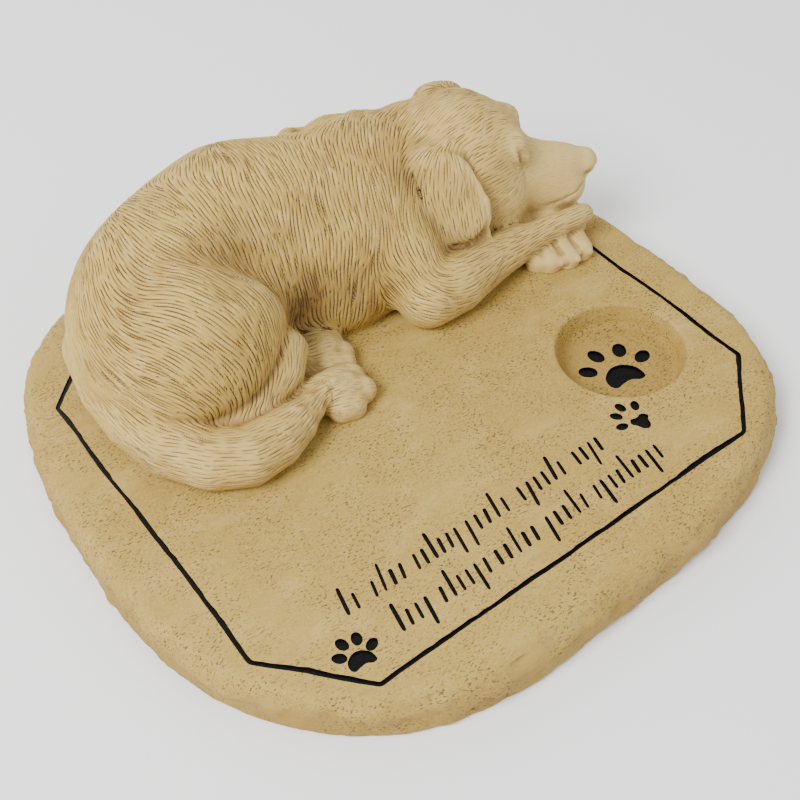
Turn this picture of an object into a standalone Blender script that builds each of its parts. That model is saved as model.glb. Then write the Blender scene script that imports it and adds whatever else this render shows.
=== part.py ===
"""A pet memorial stone: one casting, with a dog curled up asleep on a rounded slab.

The slab carries a cut border line, a round seat for a small candle, three paw prints and two rows of
short slanted strokes. Metres, +Z up. The origin is at the middle of the underside. Run it with Blender.
"""

import math

import bmesh
import bpy
import numpy as np
from mathutils import Euler, Matrix, Vector

MM = 0.001

# Slab
SLAB_WIDTH = 223.4 * MM
SLAB_DEPTH = 216.2 * MM
SLAB_THICKNESS = 15.0 * MM
SLAB_SQUARENESS = 3.1
SLAB_SIDES = 96
TOP_ROUNDING = 6.5 * MM
FOOT_ROUNDING = 2.5 * MM
# Slow waves of the broken edge: how many to a turn, share of the radius, phase in degrees
EDGE_WAVES = ((1, 0.0055, 129), (2, 0.0027, -115), (3, 0.0033, -7), (4, 0.0049, -26),
              (5, 0.0067, -139), (6, 0.0044, 68), (7, 0.0032, -146), (9, 0.0031, 52))

# Border line, an octagon, by how far its sides lie in from the slab's
LEFT_MARGIN = 19.1 * MM
RIGHT_MARGIN = 17.3 * MM
FRONT_MARGIN = 19.3 * MM
BACK_MARGIN = 26.1 * MM
BORDER_CORNER = 24.5 * MM
LINE_WIDTH = 1.8 * MM
CUT_DEPTH = 0.8 * MM
BORDER_LEFT = LEFT_MARGIN - SLAB_WIDTH / 2
BORDER_RIGHT = SLAB_WIDTH / 2 - RIGHT_MARGIN
BORDER_FRONT = FRONT_MARGIN - SLAB_DEPTH / 2
BORDER_BACK = SLAB_DEPTH / 2 - BACK_MARGIN
# Places along the border are given in parts of its width, 187 to the whole
BORDER_PARTS = 187.0
BORDER_PART = (BORDER_RIGHT - BORDER_LEFT) / BORDER_PARTS

# Candle seat: its floor takes the candle's cup with play all round, and its wall leans out to the rim
CANDLE_WIDTH = 38.0 * MM
CANDLE_PLAY = 0.75 * MM
SEAT_LEAN = 2.75 * MM
SEAT_DEPTH = 8.0 * MM
SEAT_LIP = 1.5 * MM
SEAT_COVE = 2.5 * MM
SEAT_SIDES = 40
SEAT_FLOOR = CANDLE_WIDTH + 2 * CANDLE_PLAY
SEAT_RIM = SEAT_FLOOR + 2 * SEAT_LEAN
# From the rim to the border line, at the right and at the front
SEAT_GAP_RIGHT = 5.9 * MM
SEAT_GAP_FRONT = 28.3 * MM
SEAT_PLACE = (BORDER_RIGHT - SEAT_GAP_RIGHT - SEAT_RIM / 2, BORDER_FRONT + SEAT_GAP_FRONT + SEAT_RIM / 2)

# Rows of strokes: how far the baseline lies behind the border's front line, then where each group starts
# and ends, from the border's left line and in parts of its width
ROWS = (
    (22.3 * MM, ((27.6, 34.6), (37.6, 50.6), (52.6, 70.6), (71.6, 88.6), (91.6, 110.6), (113.6, 125.6))),
    (8.8 * MM, ((36.6, 49.6), (51.6, 70.6), (71.6, 88.6), (90.6, 107.6), (109.6, 137.6))),
)
STROKE_GAP = 3.1 * MM
STROKE_HEIGHT = 5.6 * MM
TALL_STROKE = 9.6 * MM
STROKE_WIDTH = 1.2 * MM
STROKE_SLANT = math.radians(14)

# Paw prints: pad width and turn in degrees, then the pad's place. The first lies on the seat's floor
SEAT_PRINT_WIDTH = 13.0 * MM
SEAT_PRINT_TURN = -12
SEAT_PRINT_PLACE = (SEAT_PLACE[0] - 1.5 * MM, SEAT_PLACE[1] - 5.5 * MM)
RIGHT_PRINT_WIDTH = 8.4 * MM
RIGHT_PRINT_TURN = 17
RIGHT_PRINT_ALONG = 140.8
RIGHT_PRINT_PLACE = (BORDER_LEFT + RIGHT_PRINT_ALONG * BORDER_PART, SEAT_PLACE[1] - 26.3 * MM)
LEFT_PRINT_WIDTH = 8.8 * MM
LEFT_PRINT_TURN = -10
LEFT_PRINT_ALONG = 24.0
LEFT_PRINT_PLACE = (BORDER_LEFT + LEFT_PRINT_ALONG * BORDER_PART, BORDER_FRONT + 9.2 * MM)

# Dog, from the rump to the nose. Its forms are given in parts of its own length, 196 to the whole,
# measured from the slab's middle and from the slab's top
DOG_MARGIN = 13.7 * MM
DOG_LENGTH = SLAB_WIDTH - 2 * DOG_MARGIN
DOG_PARTS = 196.0
SKIN_PARTS = 2.1
DOG_TRIANGLES = 5400
BURIED_PARTS = 5.0

# Colour
STONE = (0.60, 0.46, 0.25, 1.0)


class Egg:
    """A form of the dog: a ball stretched to three radii, turned about X, then Y, then Z, in degrees."""

    def __init__(self, centre, radii, turn=(0, 0, 0), blend=2.0):
        self.centre = np.array(centre, float)
        self.radii = np.array(radii, float)
        self.frame = np.array(Euler([math.radians(a) for a in turn], "XYZ").to_matrix())
        self.blend = blend

    def distance(self, points):
        """How far the points lie outside the form, near enough."""
        local = (points - self.centre) @ self.frame
        scaled = np.linalg.norm(local / self.radii, axis=1)
        slope = np.linalg.norm(local / self.radii**2, axis=1)
        return scaled * (scaled - 1.0) / np.maximum(slope, 1e-9)

    def add_to(self, bm):
        """Adds the form to a mesh as a ball."""
        turn = Matrix(self.frame.tolist()).to_4x4()
        place = Matrix.Translation(self.centre) @ turn @ Matrix.Diagonal((*self.radii, 1.0))
        bmesh.ops.create_icosphere(bm, subdivisions=3, radius=1.0, matrix=place)

    def carry(self, place, turn):
        """Turns the form about the origin, then moves it."""
        self.centre = np.array(place) + turn @ self.centre
        self.frame = turn @ self.frame


class Limb:
    """A form of the dog that tapers along a line of stations, each x, y, height and radius.

    A flat limb, such as an ear, is thinner along its normal by the factor flat.
    """

    def __init__(self, *stations, blend=2.0, normal=(0, 0, 1), flat=1.0):
        self.stations = np.array(stations, float)
        self.blend = blend
        self.normal = np.array(normal, float) / np.linalg.norm(normal)
        self.flat = flat

    def distance(self, points):
        """How far the points lie outside the limb."""
        best = np.full(len(points), np.inf)
        for first, last in zip(self.stations, self.stations[1:]):
            along = last[:3] - first[:3]
            share = np.clip((points - first[:3]) @ along / (along @ along), 0.0, 1.0)
            off = points - first[:3] - share[:, None] * along
            out = off @ self.normal
            stretched = off + np.outer(out * (self.flat - 1.0), self.normal)
            length = np.maximum(np.linalg.norm(stretched, axis=1), 1e-9)
            steep = np.sqrt(1.0 + (self.flat**2 - 1.0) * (out * self.flat / length) ** 2)
            radius = first[3] + share * (last[3] - first[3])
            best = np.minimum(best, (length - radius) / steep)
        return best

    def add_to(self, bm):
        """Adds the limb to a mesh as a row of balls."""
        squash = Matrix.Scale(1.0 / self.flat, 4, Vector(self.normal))
        for first, last in zip(self.stations, self.stations[1:]):
            gap = np.linalg.norm(last[:3] - first[:3])
            count = max(2, math.ceil(3.0 * gap / min(first[3], last[3])))
            for step in range(count + 1):
                x, y, z, radius = first + (last - first) * step / count
                place = Matrix.Translation((x, y, z)) @ squash
                bmesh.ops.create_icosphere(bm, subdivisions=2, radius=radius, matrix=place)

    def carry(self, place, turn):
        """Turns the limb about the origin, then moves it."""
        self.stations[:, :3] = self.stations[:, :3] @ turn.T + np.array(place)
        self.normal = turn @ self.normal


def joined(a, b, blend):
    """Two distances made one, with a soft fillet of that size where they meet."""
    near = np.maximum(blend - np.abs(a - b), 0.0) / blend
    return np.minimum(a, b) - near * near * blend * 0.25


# The head's forms are given forward, left and up from the foot of the skull's middle
HEAD_PLACE = (73.5, 42.5, 0.5)
HEAD_TURN = -31


def on_head(forms):
    """Puts the forms in their place on the dog."""
    turn = np.array(Euler((0, 0, math.radians(HEAD_TURN))).to_matrix())
    for form in forms:
        form.carry(HEAD_PLACE, turn)
    return forms


TORSO = [
    Egg((-55, 44, 18), (30, 34, 34), blend=1),
    Egg((-40, 57.5, 18), (33.5, 34, 36.5), blend=12),
    Egg((-14, 63, 19), (37, 37, 38), blend=12),
    Egg((14, 56.5, 18), (32, 33.5, 32.5), blend=12),
    Egg((32, 60, 18), (24, 27.5, 30.5), blend=10),
    Limb((38, 60, 22, 25.5), (56, 61, 25, 21), blend=10),
    Egg((8, 42, 8), (27, 20, 16), blend=9),
    Egg((45, 37, 12), (15, 14, 16.5), blend=5),
    Egg((64, 33, 4), (24, 16, 9), blend=4),
    Limb((70, 27, 3, 7), (96, 20, 2, 6), blend=3),
    Limb((30, 40, 21, 14), (28, 28, 17, 13), (27, 15, 9.5, 10.5), blend=7),
    Limb((15.5, 75.8, 45, 3.6), (22, 77.4, 42, 3.2), blend=1),
    Limb((26.5, 77.2, 42.2, 3.2), (31, 76.6, 43.2, 3.3), (35.5, 74, 44, 2.5), blend=1),
    Limb((40, 71.8, 44.6, 2.8), (45, 71.2, 42.6, 2.5), blend=1),
]
HIND = [
    Egg((-52, 30, 20), (27, 24, 31), turn=(0, 0, -15), blend=5),
    Egg((-37, 27, 27), (14.5, 13, 16), blend=7),
    Limb((-27, 18, 16.5, 7.6), (-32.5, 12.5, 13, 7.4), (-44, 8, 9.5, 6.6), (-58, 7, 7.5, 6), blend=2),
    Limb((-42, 9, 3.5, 5.5), (-24, 3, 5, 6.6), blend=2),
    Egg((-19, 1, 5), (8, 8, 6.5), turn=(0, 0, -15), blend=3),
    Limb((-22, -4, 3.5, 5), (-18.5, -5, 3, 4.8), blend=1.5),
    Limb((-18, 0, 4.5, 5), (-12.5, -2, 3.5, 4.8), blend=1.5),
    Limb((-18, 5, 5, 5), (-12.5, 4.5, 4, 4.8), blend=1.5),
    Limb((-40, 22, 5, 7), (-24, 21, 6, 7), blend=3),
    Egg((-15, 20, 5), (9, 7.5, 6.5), turn=(0, 0, -10), blend=3),
    Limb((-12, 17, 4, 4.5), (-8, 16, 3, 4.4), blend=1.5),
    Limb((-12, 22, 4.5, 4.5), (-8, 22, 3, 4.4), blend=1.5),
]
TAIL = [
    Limb((-72, 60, 12, 12), (-75, 44, 9, 12), (-76, 28, 8, 10.8), (-73.5, 12, 7.5, 9.9), (-66, -0.5, 7.5, 9.6),
         (-57, -6.2, 7.5, 9.4), (-47.5, -6, 7.5, 8.8), (-39, -4, 7.5, 7.2), (-32, -1.8, 8, 5), (-25.5, 0, 8.5, 2.7),
         blend=2.1),
]
FRONT = [
    Limb((27, 14, 9, 10.5), (38, 13.5, 9, 10.3), (52, 16, 8.5, 9), (64, 16.5, 8, 7.3), (74, 15, 9, 5.6),
         (82, 13.5, 10.5, 4.8), (89, 12.5, 11, 4.2), (95, 12.5, 10.5, 3.8), blend=2),
    Limb((90, 34, 5, 6), (84, 16, 4, 6), (82, 12, 3.5, 6), blend=2),
    Limb((73.5, 15, 3, 4.5), (74, 10.5, 2.2, 4.2), blend=1.5),
    Limb((78, 14, 3.5, 5), (76.5, 8, 2.5, 4.6), blend=1.2),
    Limb((84, 12, 3.5, 5), (82.5, 5.5, 2.5, 4.6), blend=1.2),
    Limb((90, 12, 3.5, 5), (89.5, 6, 2.5, 4.6), blend=1.2),
]
HEAD = on_head([
    Egg((-8, 1, 28), (22, 23, 23), blend=7),
    Egg((4, 0, 33.5), (9, 13, 11), blend=5),
    Egg((0, 12, 18), (14, 9, 14), blend=5),
    Egg((0, -12, 18), (14, 9, 14), blend=5),
    Limb((10, 0, 22, 12), (28, 0, 19.6, 8.7), blend=5),
    Limb((10, 0, 16, 13), (27, 0, 14.5, 8.5), blend=4),
    Egg((24, 5, 14.5), (11.5, 6, 7.5), blend=4),
    Egg((24, -5, 14.5), (11.5, 6, 7.5), blend=4),
    Egg((36.5, 0, 22.2), (4.2, 5.3, 4.2), blend=2),
    Egg((9, 8, 38), (5, 5, 4.5), blend=3),
    Egg((9, -8, 38), (5, 5, 4.5), blend=3),
    Egg((11, 9.5, 33), (4, 3.5, 3.5), blend=1.5),
    Egg((11, -9.5, 33), (4, 3.5, 3.5), blend=1.5),
])
EARS = on_head([
    Egg((-20, -17, 38), (8, 7, 8), blend=4),
    Limb((-14, -16, 43, 6), (-15, -24, 35.5, 11.5), (-12.5, -28, 27, 10.5), (-7, -29.5, 17.5, 5.5), blend=1.5,
         normal=(0, -0.8, 0.6), flat=3.2),
    Limb((-9, 13, 44, 7), (-13, 21, 42, 8.5), (-14, 26, 32, 8.5), blend=3, normal=(0, 0.7, 0.7), flat=2.2),
])
FORMS = TORSO + HIND + TAIL + FRONT + HEAD + EARS
CREASES = [
    Limb((-46, 36, 56, 2), (-36, 33.5, 51, 4), (-28, 31, 45, 5), (-22, 27.5, 39, 5), (-18.5, 23, 33, 5),
         (-17, 20, 27, 5), (-17, 20, 18, 5), blend=4),
]


def dog_distance(points):
    """How far points lie outside the dog, each form blended into those before it, then the creases cut."""
    whole = FORMS[0].distance(points)
    for form in FORMS[1:]:
        whole = joined(whole, form.distance(points), max(form.blend, SKIN_PARTS))
    for crease in CREASES:
        whole = -joined(-whole, crease.distance(points), crease.blend)
    return whole


def settle(bm, rounds=4):
    """Moves a mesh's points onto the dog's surface, evening them out between rounds."""
    for turn in range(rounds):
        if turn:
            bmesh.ops.smooth_vert(bm, verts=bm.verts, factor=0.5, use_axis_x=True, use_axis_y=True, use_axis_z=True)
        points = np.array([v.co for v in bm.verts])
        for _ in range(3):
            here = dog_distance(points)
            slope = np.stack([dog_distance(points + axis) - here for axis in np.eye(3) * 0.05], axis=1) / 0.05
            steep = np.maximum((slope * slope).sum(axis=1), 0.1)
            points -= np.clip(slope * (here / steep)[:, None], -1.5, 1.5)
        for vert, place in zip(bm.verts, points):
            vert.co = place


def fresh(name, mesh, collection):
    """An object of that mesh, in that collection."""
    obj = bpy.data.objects.new(name, mesh)
    collection.objects.link(obj)
    return obj


def baked(obj):
    """Replaces an object's mesh by its modified one."""
    graph = bpy.context.evaluated_depsgraph_get()
    obj.data = bpy.data.meshes.new_from_object(obj.evaluated_get(graph))
    obj.modifiers.clear()


def finish_cutter(name, bm, collection):
    """A cutter from a mesh being built."""
    bmesh.ops.recalc_face_normals(bm, faces=bm.faces)
    mesh = bpy.data.meshes.new(name)
    bm.to_mesh(mesh)
    bm.free()
    cutter = fresh(name, mesh, collection)
    cutter.hide_render = True
    cutter.display_type = "WIRE"
    return cutter


def keep_largest(bm):
    """Deletes all but the largest of a mesh's separate skins, such as the skin of a space inside."""
    skins = []
    left = set(bm.verts)
    while left:
        todo = [left.pop()]
        skin = set(todo)
        while todo:
            near = {v for edge in todo.pop().link_edges for v in edge.verts} & left
            left -= near
            skin |= near
            todo.extend(near)
        skins.append(skin)
    largest = max(skins, key=len)
    bmesh.ops.delete(bm, geom=[v for skin in skins if skin is not largest for v in skin], context="VERTS")


def make_foot_cutter(collection):
    """A block over all that lies too deep in the slab, in the dog's parts."""
    bm = bmesh.new()
    middle = Matrix.Translation((0, 0, -BURIED_PARTS - DOG_PARTS / 2))
    block = middle @ Matrix.Diagonal((2 * DOG_PARTS, 2 * DOG_PARTS, DOG_PARTS, 1))
    bmesh.ops.create_cube(bm, size=1.0, matrix=block)
    return finish_cutter("foot_cutter", bm, collection)


def make_dog(collection):
    """The dog's closed skin, down to a flat foot that lies inside the slab."""
    bm = bmesh.new()
    for form in FORMS:
        form.add_to(bm)
    mesh = bpy.data.meshes.new("dog")
    bm.to_mesh(mesh)
    bm.free()
    dog = fresh("dog", mesh, collection)
    skin = dog.modifiers.new("Skin", "REMESH")
    skin.mode = "VOXEL"
    skin.voxel_size = SKIN_PARTS
    baked(dog)
    bm = bmesh.new()
    bm.from_mesh(dog.data)
    keep_largest(bm)
    settle(bm)
    bmesh.ops.triangulate(bm, faces=bm.faces)
    bm.to_mesh(dog.data)
    bm.free()
    thinner = dog.modifiers.new("Fewer", "DECIMATE")
    thinner.ratio = min(1.0, DOG_TRIANGLES / len(dog.data.polygons))
    foot = dog.modifiers.new("Foot", "BOOLEAN")
    foot.operation = "DIFFERENCE"
    foot.solver = "EXACT"
    foot.object = make_foot_cutter(collection)
    baked(dog)
    scale = Matrix.Scale(DOG_LENGTH / DOG_PARTS, 4)
    dog.data.transform(Matrix.Translation((0, 0, SLAB_THICKNESS)) @ scale)
    return dog


def edge_radius(angle):
    """The slab's radius at an angle: a squarish round with slow waves."""
    across = abs(math.cos(angle) / (SLAB_WIDTH / 2)) ** SLAB_SQUARENESS
    along = abs(math.sin(angle) / (SLAB_DEPTH / 2)) ** SLAB_SQUARENESS
    waves = sum(share * math.cos(count * angle - math.radians(phase)) for count, share, phase in EDGE_WAVES)
    return (across + along) ** (-1 / SLAB_SQUARENESS) * (1 + waves)


def slab_outline(sides):
    """The slab's outline from above, its box's middle at the origin."""
    angles = [math.tau * i / sides for i in range(sides)]
    points = np.array([(edge_radius(a) * math.cos(a), edge_radius(a) * math.sin(a)) for a in angles])
    return points - (points.min(axis=0) + points.max(axis=0)) / 2


def prism(bm, outline, bottom, top):
    """Adds a closed prism over an outline of x, y points."""
    ring = bmesh.ops.create_circle(bm, cap_ends=True, segments=len(outline), radius=1.0)["verts"]
    for vert, (x, y) in zip(ring, outline):
        vert.co = (x, y, bottom)
    face = next(f for f in ring[0].link_faces)
    raised = bmesh.ops.extrude_face_region(bm, geom=[face])["geom"]
    lifted = [v for v in raised if isinstance(v, bmesh.types.BMVert)]
    bmesh.ops.translate(bm, vec=(0, 0, top - bottom), verts=lifted)


def make_slab(collection):
    """The slab, rounded over at the top and a little at the foot."""
    bm = bmesh.new()
    prism(bm, slab_outline(SLAB_SIDES), 0.0, SLAB_THICKNESS)
    for height, wanted, steps in ((SLAB_THICKNESS, TOP_ROUNDING, 4), (0.0, FOOT_ROUNDING, 2)):
        rounding = min(wanted, 0.45 * SLAB_THICKNESS)
        rim = [e for e in bm.edges if all(abs(v.co.z - height) < 1e-6 for v in e.verts)]
        bmesh.ops.bevel(bm, geom=rim, offset=rounding, segments=steps, profile=0.5, affect="EDGES", material=-1)
    bmesh.ops.recalc_face_normals(bm, faces=bm.faces)
    mesh = bpy.data.meshes.new("memorial_stone")
    bm.to_mesh(mesh)
    bm.free()
    return fresh("memorial_stone", mesh, collection)


def make_seat_cutter(collection):
    """The candle seat, turned: a flat floor, a cove at the wall's foot and a worn lip."""
    wall, floor = SEAT_RIM / 2, -SEAT_DEPTH
    foot = SEAT_FLOOR / 2
    profile = [(0.0, floor), (foot - SEAT_COVE, floor)]
    for step in range(1, 4):
        angle = math.radians(30 * step)
        profile.append((foot - SEAT_COVE + SEAT_COVE * math.sin(angle), floor + SEAT_COVE * (1 - math.cos(angle))))
    profile += [(wall - SEAT_LIP, -SEAT_LIP), (wall - 0.45 * SEAT_LIP, -0.45 * SEAT_LIP), (wall, 0.0)]
    profile += [(wall + SEAT_LIP, 0.5 * SEAT_LIP), (wall + SEAT_LIP, SEAT_DEPTH), (0.0, SEAT_DEPTH)]
    bm = bmesh.new()
    verts = [bm.verts.new((*SEAT_PLACE, SLAB_THICKNESS)) for _ in profile]
    for vert, (x, z) in zip(verts, profile):
        vert.co += Vector((x, 0, z))
    edges = [bm.edges.new(pair) for pair in zip(verts, verts[1:])]
    bmesh.ops.spin(bm, geom=verts + edges, cent=(*SEAT_PLACE, 0), axis=(0, 0, 1), angle=math.tau,
                   steps=SEAT_SIDES, use_merge=True)
    bmesh.ops.remove_doubles(bm, verts=bm.verts, dist=1e-6)
    return finish_cutter("seat_cutter", bm, collection)


def make_border_cutter(collection):
    """The border line: an octagon, inset to a thin ring and given depth."""
    corners = []
    for x, away_x, y, away_y in ((BORDER_RIGHT, -1, BORDER_FRONT, 1), (BORDER_RIGHT, -1, BORDER_BACK, -1),
                                 (BORDER_LEFT, 1, BORDER_BACK, -1), (BORDER_LEFT, 1, BORDER_FRONT, 1)):
        pair = [(x + away_x * BORDER_CORNER, y), (x, y + away_y * BORDER_CORNER)]
        corners += pair if away_x * away_y < 0 else pair[::-1]
    bm = bmesh.new()
    ring = bmesh.ops.create_circle(bm, cap_ends=True, segments=len(corners), radius=1.0)["verts"]
    for vert, (x, y) in zip(ring, corners):
        vert.co = (x, y, SLAB_THICKNESS - CUT_DEPTH)
    inner = bm.faces[:]
    band = bmesh.ops.inset_region(
        bm, faces=inner, thickness=LINE_WIDTH, use_boundary=True, use_even_offset=True)["faces"]
    bmesh.ops.delete(bm, geom=inner, context="FACES_ONLY")
    raised = bmesh.ops.extrude_face_region(bm, geom=band)["geom"]
    lifted = [v for v in raised if isinstance(v, bmesh.types.BMVert)]
    bmesh.ops.translate(bm, vec=(0, 0, 3 * CUT_DEPTH), verts=lifted)
    return finish_cutter("border_cutter", bm, collection)


def bar(centre, width, length, turn):
    """A straight bar's outline with cut corners, its length along the direction turn."""
    half, side = length / 2, width / 2
    points = []
    for along, across in ((half, side / 2), (half - side / 2, side), (side / 2 - half, side), (-half, side / 2),
                          (-half, -side / 2), (side / 2 - half, -side), (half - side / 2, -side), (half, -side / 2)):
        point = Vector((along, across))
        point.rotate(Matrix.Rotation(turn, 2))
        points.append((centre[0] + point.x, centre[1] + point.y))
    return points


def oval(centre, width, length, turn, sides=10):
    """An oval outline, its length along the direction turn."""
    points = []
    for i in range(sides):
        angle = math.tau * i / sides
        point = Vector((length / 2 * math.cos(angle), width / 2 * math.sin(angle)))
        point.rotate(Matrix.Rotation(turn, 2))
        points.append((centre[0] + point.x, centre[1] + point.y))
    return points


def pad_outline(centre, width, turn, sides=18):
    """A paw's main pad: a rounded triangle with a hollow in its lower side."""
    points = []
    for i in range(sides):
        angle = math.tau * i / sides
        lobes = 1 + 0.13 * math.cos(3 * (angle - math.pi / 2))
        below = math.remainder(angle + math.pi / 2, math.tau)
        radius = width / 2.2 * (lobes - 0.34 * math.exp(-((below / 0.45) ** 2)))
        points.append((centre[0] + radius * math.cos(angle + turn), centre[1] + radius * math.sin(angle + turn)))
    return points


def paw_outlines(place, width, turn):
    """The pad and the four toes of a paw print."""
    outlines = [pad_outline(place, width, turn)]
    for spread, away in ((-57, 0.86), (-20, 0.98), (20, 0.98), (57, 0.86)):
        direction = math.pi / 2 + turn + math.radians(spread)
        reach = away * width
        toe = (place[0] + reach * math.cos(direction), place[1] + reach * math.sin(direction))
        outlines.append(oval(toe, 0.36 * width, 0.50 * width, direction))
    return outlines


def stroke_outlines():
    """Short slanted strokes in groups along their rows, some taller and some hanging lower."""
    outlines = []
    for up, groups in ROWS:
        base = BORDER_FRONT + up
        for number, (start, end) in enumerate(groups):
            count = max(2, round((end - start) * BORDER_PART / STROKE_GAP))
            for i in range(count):
                tall = (i * 7 + number * 5) % 6
                height = TALL_STROKE if tall == 0 else STROKE_HEIGHT
                low = base - (TALL_STROKE - STROKE_HEIGHT if tall == 3 else 0.0)
                x = BORDER_LEFT + BORDER_PART * (start + (i + 0.5) * (end - start) / count)
                middle = (low + base + height) / 2
                lean = (middle - base) * math.tan(STROKE_SLANT)
                length = (base + height - low) / math.cos(STROKE_SLANT)
                outlines.append(bar((x + lean, middle), STROKE_WIDTH, length, math.pi / 2 - STROKE_SLANT))
    return outlines


def make_print_cutter(collection):
    """The paw prints and the strokes, as shallow prisms that don't meet."""
    bm = bmesh.new()
    for place, width, turn, floor in (
        (SEAT_PRINT_PLACE, SEAT_PRINT_WIDTH, SEAT_PRINT_TURN, SLAB_THICKNESS - SEAT_DEPTH),
        (RIGHT_PRINT_PLACE, RIGHT_PRINT_WIDTH, RIGHT_PRINT_TURN, SLAB_THICKNESS),
        (LEFT_PRINT_PLACE, LEFT_PRINT_WIDTH, LEFT_PRINT_TURN, SLAB_THICKNESS),
    ):
        for outline in paw_outlines(place, width, math.radians(turn)):
            prism(bm, outline, floor - CUT_DEPTH, floor + CUT_DEPTH)
    for outline in stroke_outlines():
        prism(bm, outline, SLAB_THICKNESS - CUT_DEPTH, SLAB_THICKNESS + CUT_DEPTH)
    return finish_cutter("print_cutter", bm, collection)


def stone_material():
    """The cast stone."""
    material = bpy.data.materials.new("cast_stone")
    material.use_nodes = True
    shader = material.node_tree.nodes["Principled BSDF"]
    shader.inputs["Base Color"].default_value = STONE
    shader.inputs["Roughness"].default_value = 0.72
    shader.inputs["Metallic"].default_value = 0.0
    return material


def main():
    """Builds the stone."""
    for obj in list(bpy.data.objects):
        bpy.data.objects.remove(obj)
    stone = bpy.data.collections.new("memorial_stone")
    cutters = bpy.data.collections.new("memorial_stone_cutters")
    for collection in (stone, cutters):
        bpy.context.scene.collection.children.link(collection)
    slab = make_slab(stone)
    tools = (make_seat_cutter(cutters), make_border_cutter(cutters), make_print_cutter(cutters))
    for tool in tools:
        cut = slab.modifiers.new(tool.name, "BOOLEAN")
        cut.operation = "DIFFERENCE"
        cut.solver = "EXACT"
        cut.object = tool
    dog = make_dog(cutters)
    dog.hide_render = True
    dog.display_type = "WIRE"
    join = slab.modifiers.new("dog", "BOOLEAN")
    join.operation = "UNION"
    join.solver = "EXACT"
    join.object = dog
    baked(slab)
    bm = bmesh.new()
    bm.from_mesh(slab.data)
    keep_largest(bm)
    bm.to_mesh(slab.data)
    bm.free()
    slab.data.name = "memorial_stone"
    slab.data.materials.clear()
    slab.data.materials.append(stone_material())
    slab.data.polygons.foreach_set("material_index", [0] * len(slab.data.polygons))
    slab.data.shade_smooth()
    slab.data.set_sharp_from_angle(angle=math.radians(40))


if __name__ == "__main__":
    main()
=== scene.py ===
"""A pet memorial stone: a dog curled up asleep on a rounded slab, cast in one piece and coloured by hand.

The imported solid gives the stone's place and size. This script models the surface of the casting over it: the
worn slab with its painted cuts, and the dog with the coat that was carved into the model. Metres, +Z up, with
the origin at the middle of the underside.
"""

from __future__ import annotations

import logging
import math
import random
from dataclasses import dataclass, field
from enum import Enum
from typing import Callable, Iterable, Sequence

import bmesh
import bpy
import numpy as np
from mathutils import Euler, Matrix, Vector, kdtree, noise


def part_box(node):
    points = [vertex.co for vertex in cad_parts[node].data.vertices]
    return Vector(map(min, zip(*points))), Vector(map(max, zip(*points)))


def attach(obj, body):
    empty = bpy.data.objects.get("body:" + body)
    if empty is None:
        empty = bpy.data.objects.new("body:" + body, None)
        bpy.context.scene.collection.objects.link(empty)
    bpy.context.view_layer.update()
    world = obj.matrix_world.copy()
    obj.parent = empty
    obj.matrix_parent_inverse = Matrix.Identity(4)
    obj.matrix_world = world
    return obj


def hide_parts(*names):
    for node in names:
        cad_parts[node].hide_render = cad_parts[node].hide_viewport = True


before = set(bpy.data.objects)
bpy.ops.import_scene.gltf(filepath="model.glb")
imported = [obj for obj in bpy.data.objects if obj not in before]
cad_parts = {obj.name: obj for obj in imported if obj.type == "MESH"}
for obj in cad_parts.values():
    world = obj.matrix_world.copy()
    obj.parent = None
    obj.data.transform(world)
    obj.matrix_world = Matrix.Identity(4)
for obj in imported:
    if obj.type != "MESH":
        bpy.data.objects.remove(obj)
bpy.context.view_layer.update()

log = logging.getLogger("memorial_stone")

Triple = tuple[float, float, float]
Pair = tuple[float, float]

NODE = "memorial_stone"

# One millimetre of the casting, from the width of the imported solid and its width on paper
CAST_WIDTH = 224.59
NODE_LOW, NODE_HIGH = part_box(NODE)
MM = (NODE_HIGH.x - NODE_LOW.x) / CAST_WIDTH

# The slab's top, in millimetres over the underside. The dog's own heights start there
SLAB_TOP = 15.0


class Hair(Enum):
    """How a stretch of coat is carved: gap between cuts, length and depth of a cut, in millimetres."""

    COARSE = (1.16, 14.0, 0.52)
    LONG = (1.16, 11.0, 0.42)
    SOFT = (1.16, 8.5, 0.30)
    SHORT = (1.15, 4.5, 0.17)
    FAINT = (1.20, 3.5, 0.07)
    BARE = (1.60, 3.0, 0.0)


DOWN: Triple = (-0.46, -0.57, -0.68)
TO_EYE: Triple = (-0.38, -0.57, 0.73)

# Pads of the paw prints: a kidney with one lobe that hangs low, and one with three lobes
KIDNEY: tuple[Pair, ...] = ((6.5, 0.2), (3.8, 3.9), (-0.8, 5.0), (-4.6, 3.2), (-6.5, -1.1), (-5.3, -4.6),
                            (-3.0, -5.4), (-1.0, -3.6), (1.8, -1.7), (4.8, -1.6))
TREFOIL: tuple[Pair, ...] = ((6.8, 1.2), (4.2, 4.9), (-0.5, 4.2), (-4.8, 5.2), (-7.0, 2.0), (-5.0, -1.5),
                             (-3.4, -5.6), (0.0, -7.4), (3.0, -5.4), (4.4, -1.6))


def distance_scale(points: np.ndarray, low: np.ndarray, high: np.ndarray, margin: float) -> np.ndarray:
    """Which points lie in a box grown by a margin.

    Args:
        points: the points, one to a row.
        low: the box's lowest corner.
        high: the box's highest corner.
        margin: how far the box is grown on every side.

    Returns:
        One truth value for each point.
    """
    return np.all((points > low - margin) & (points < high + margin), axis=1)


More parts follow.
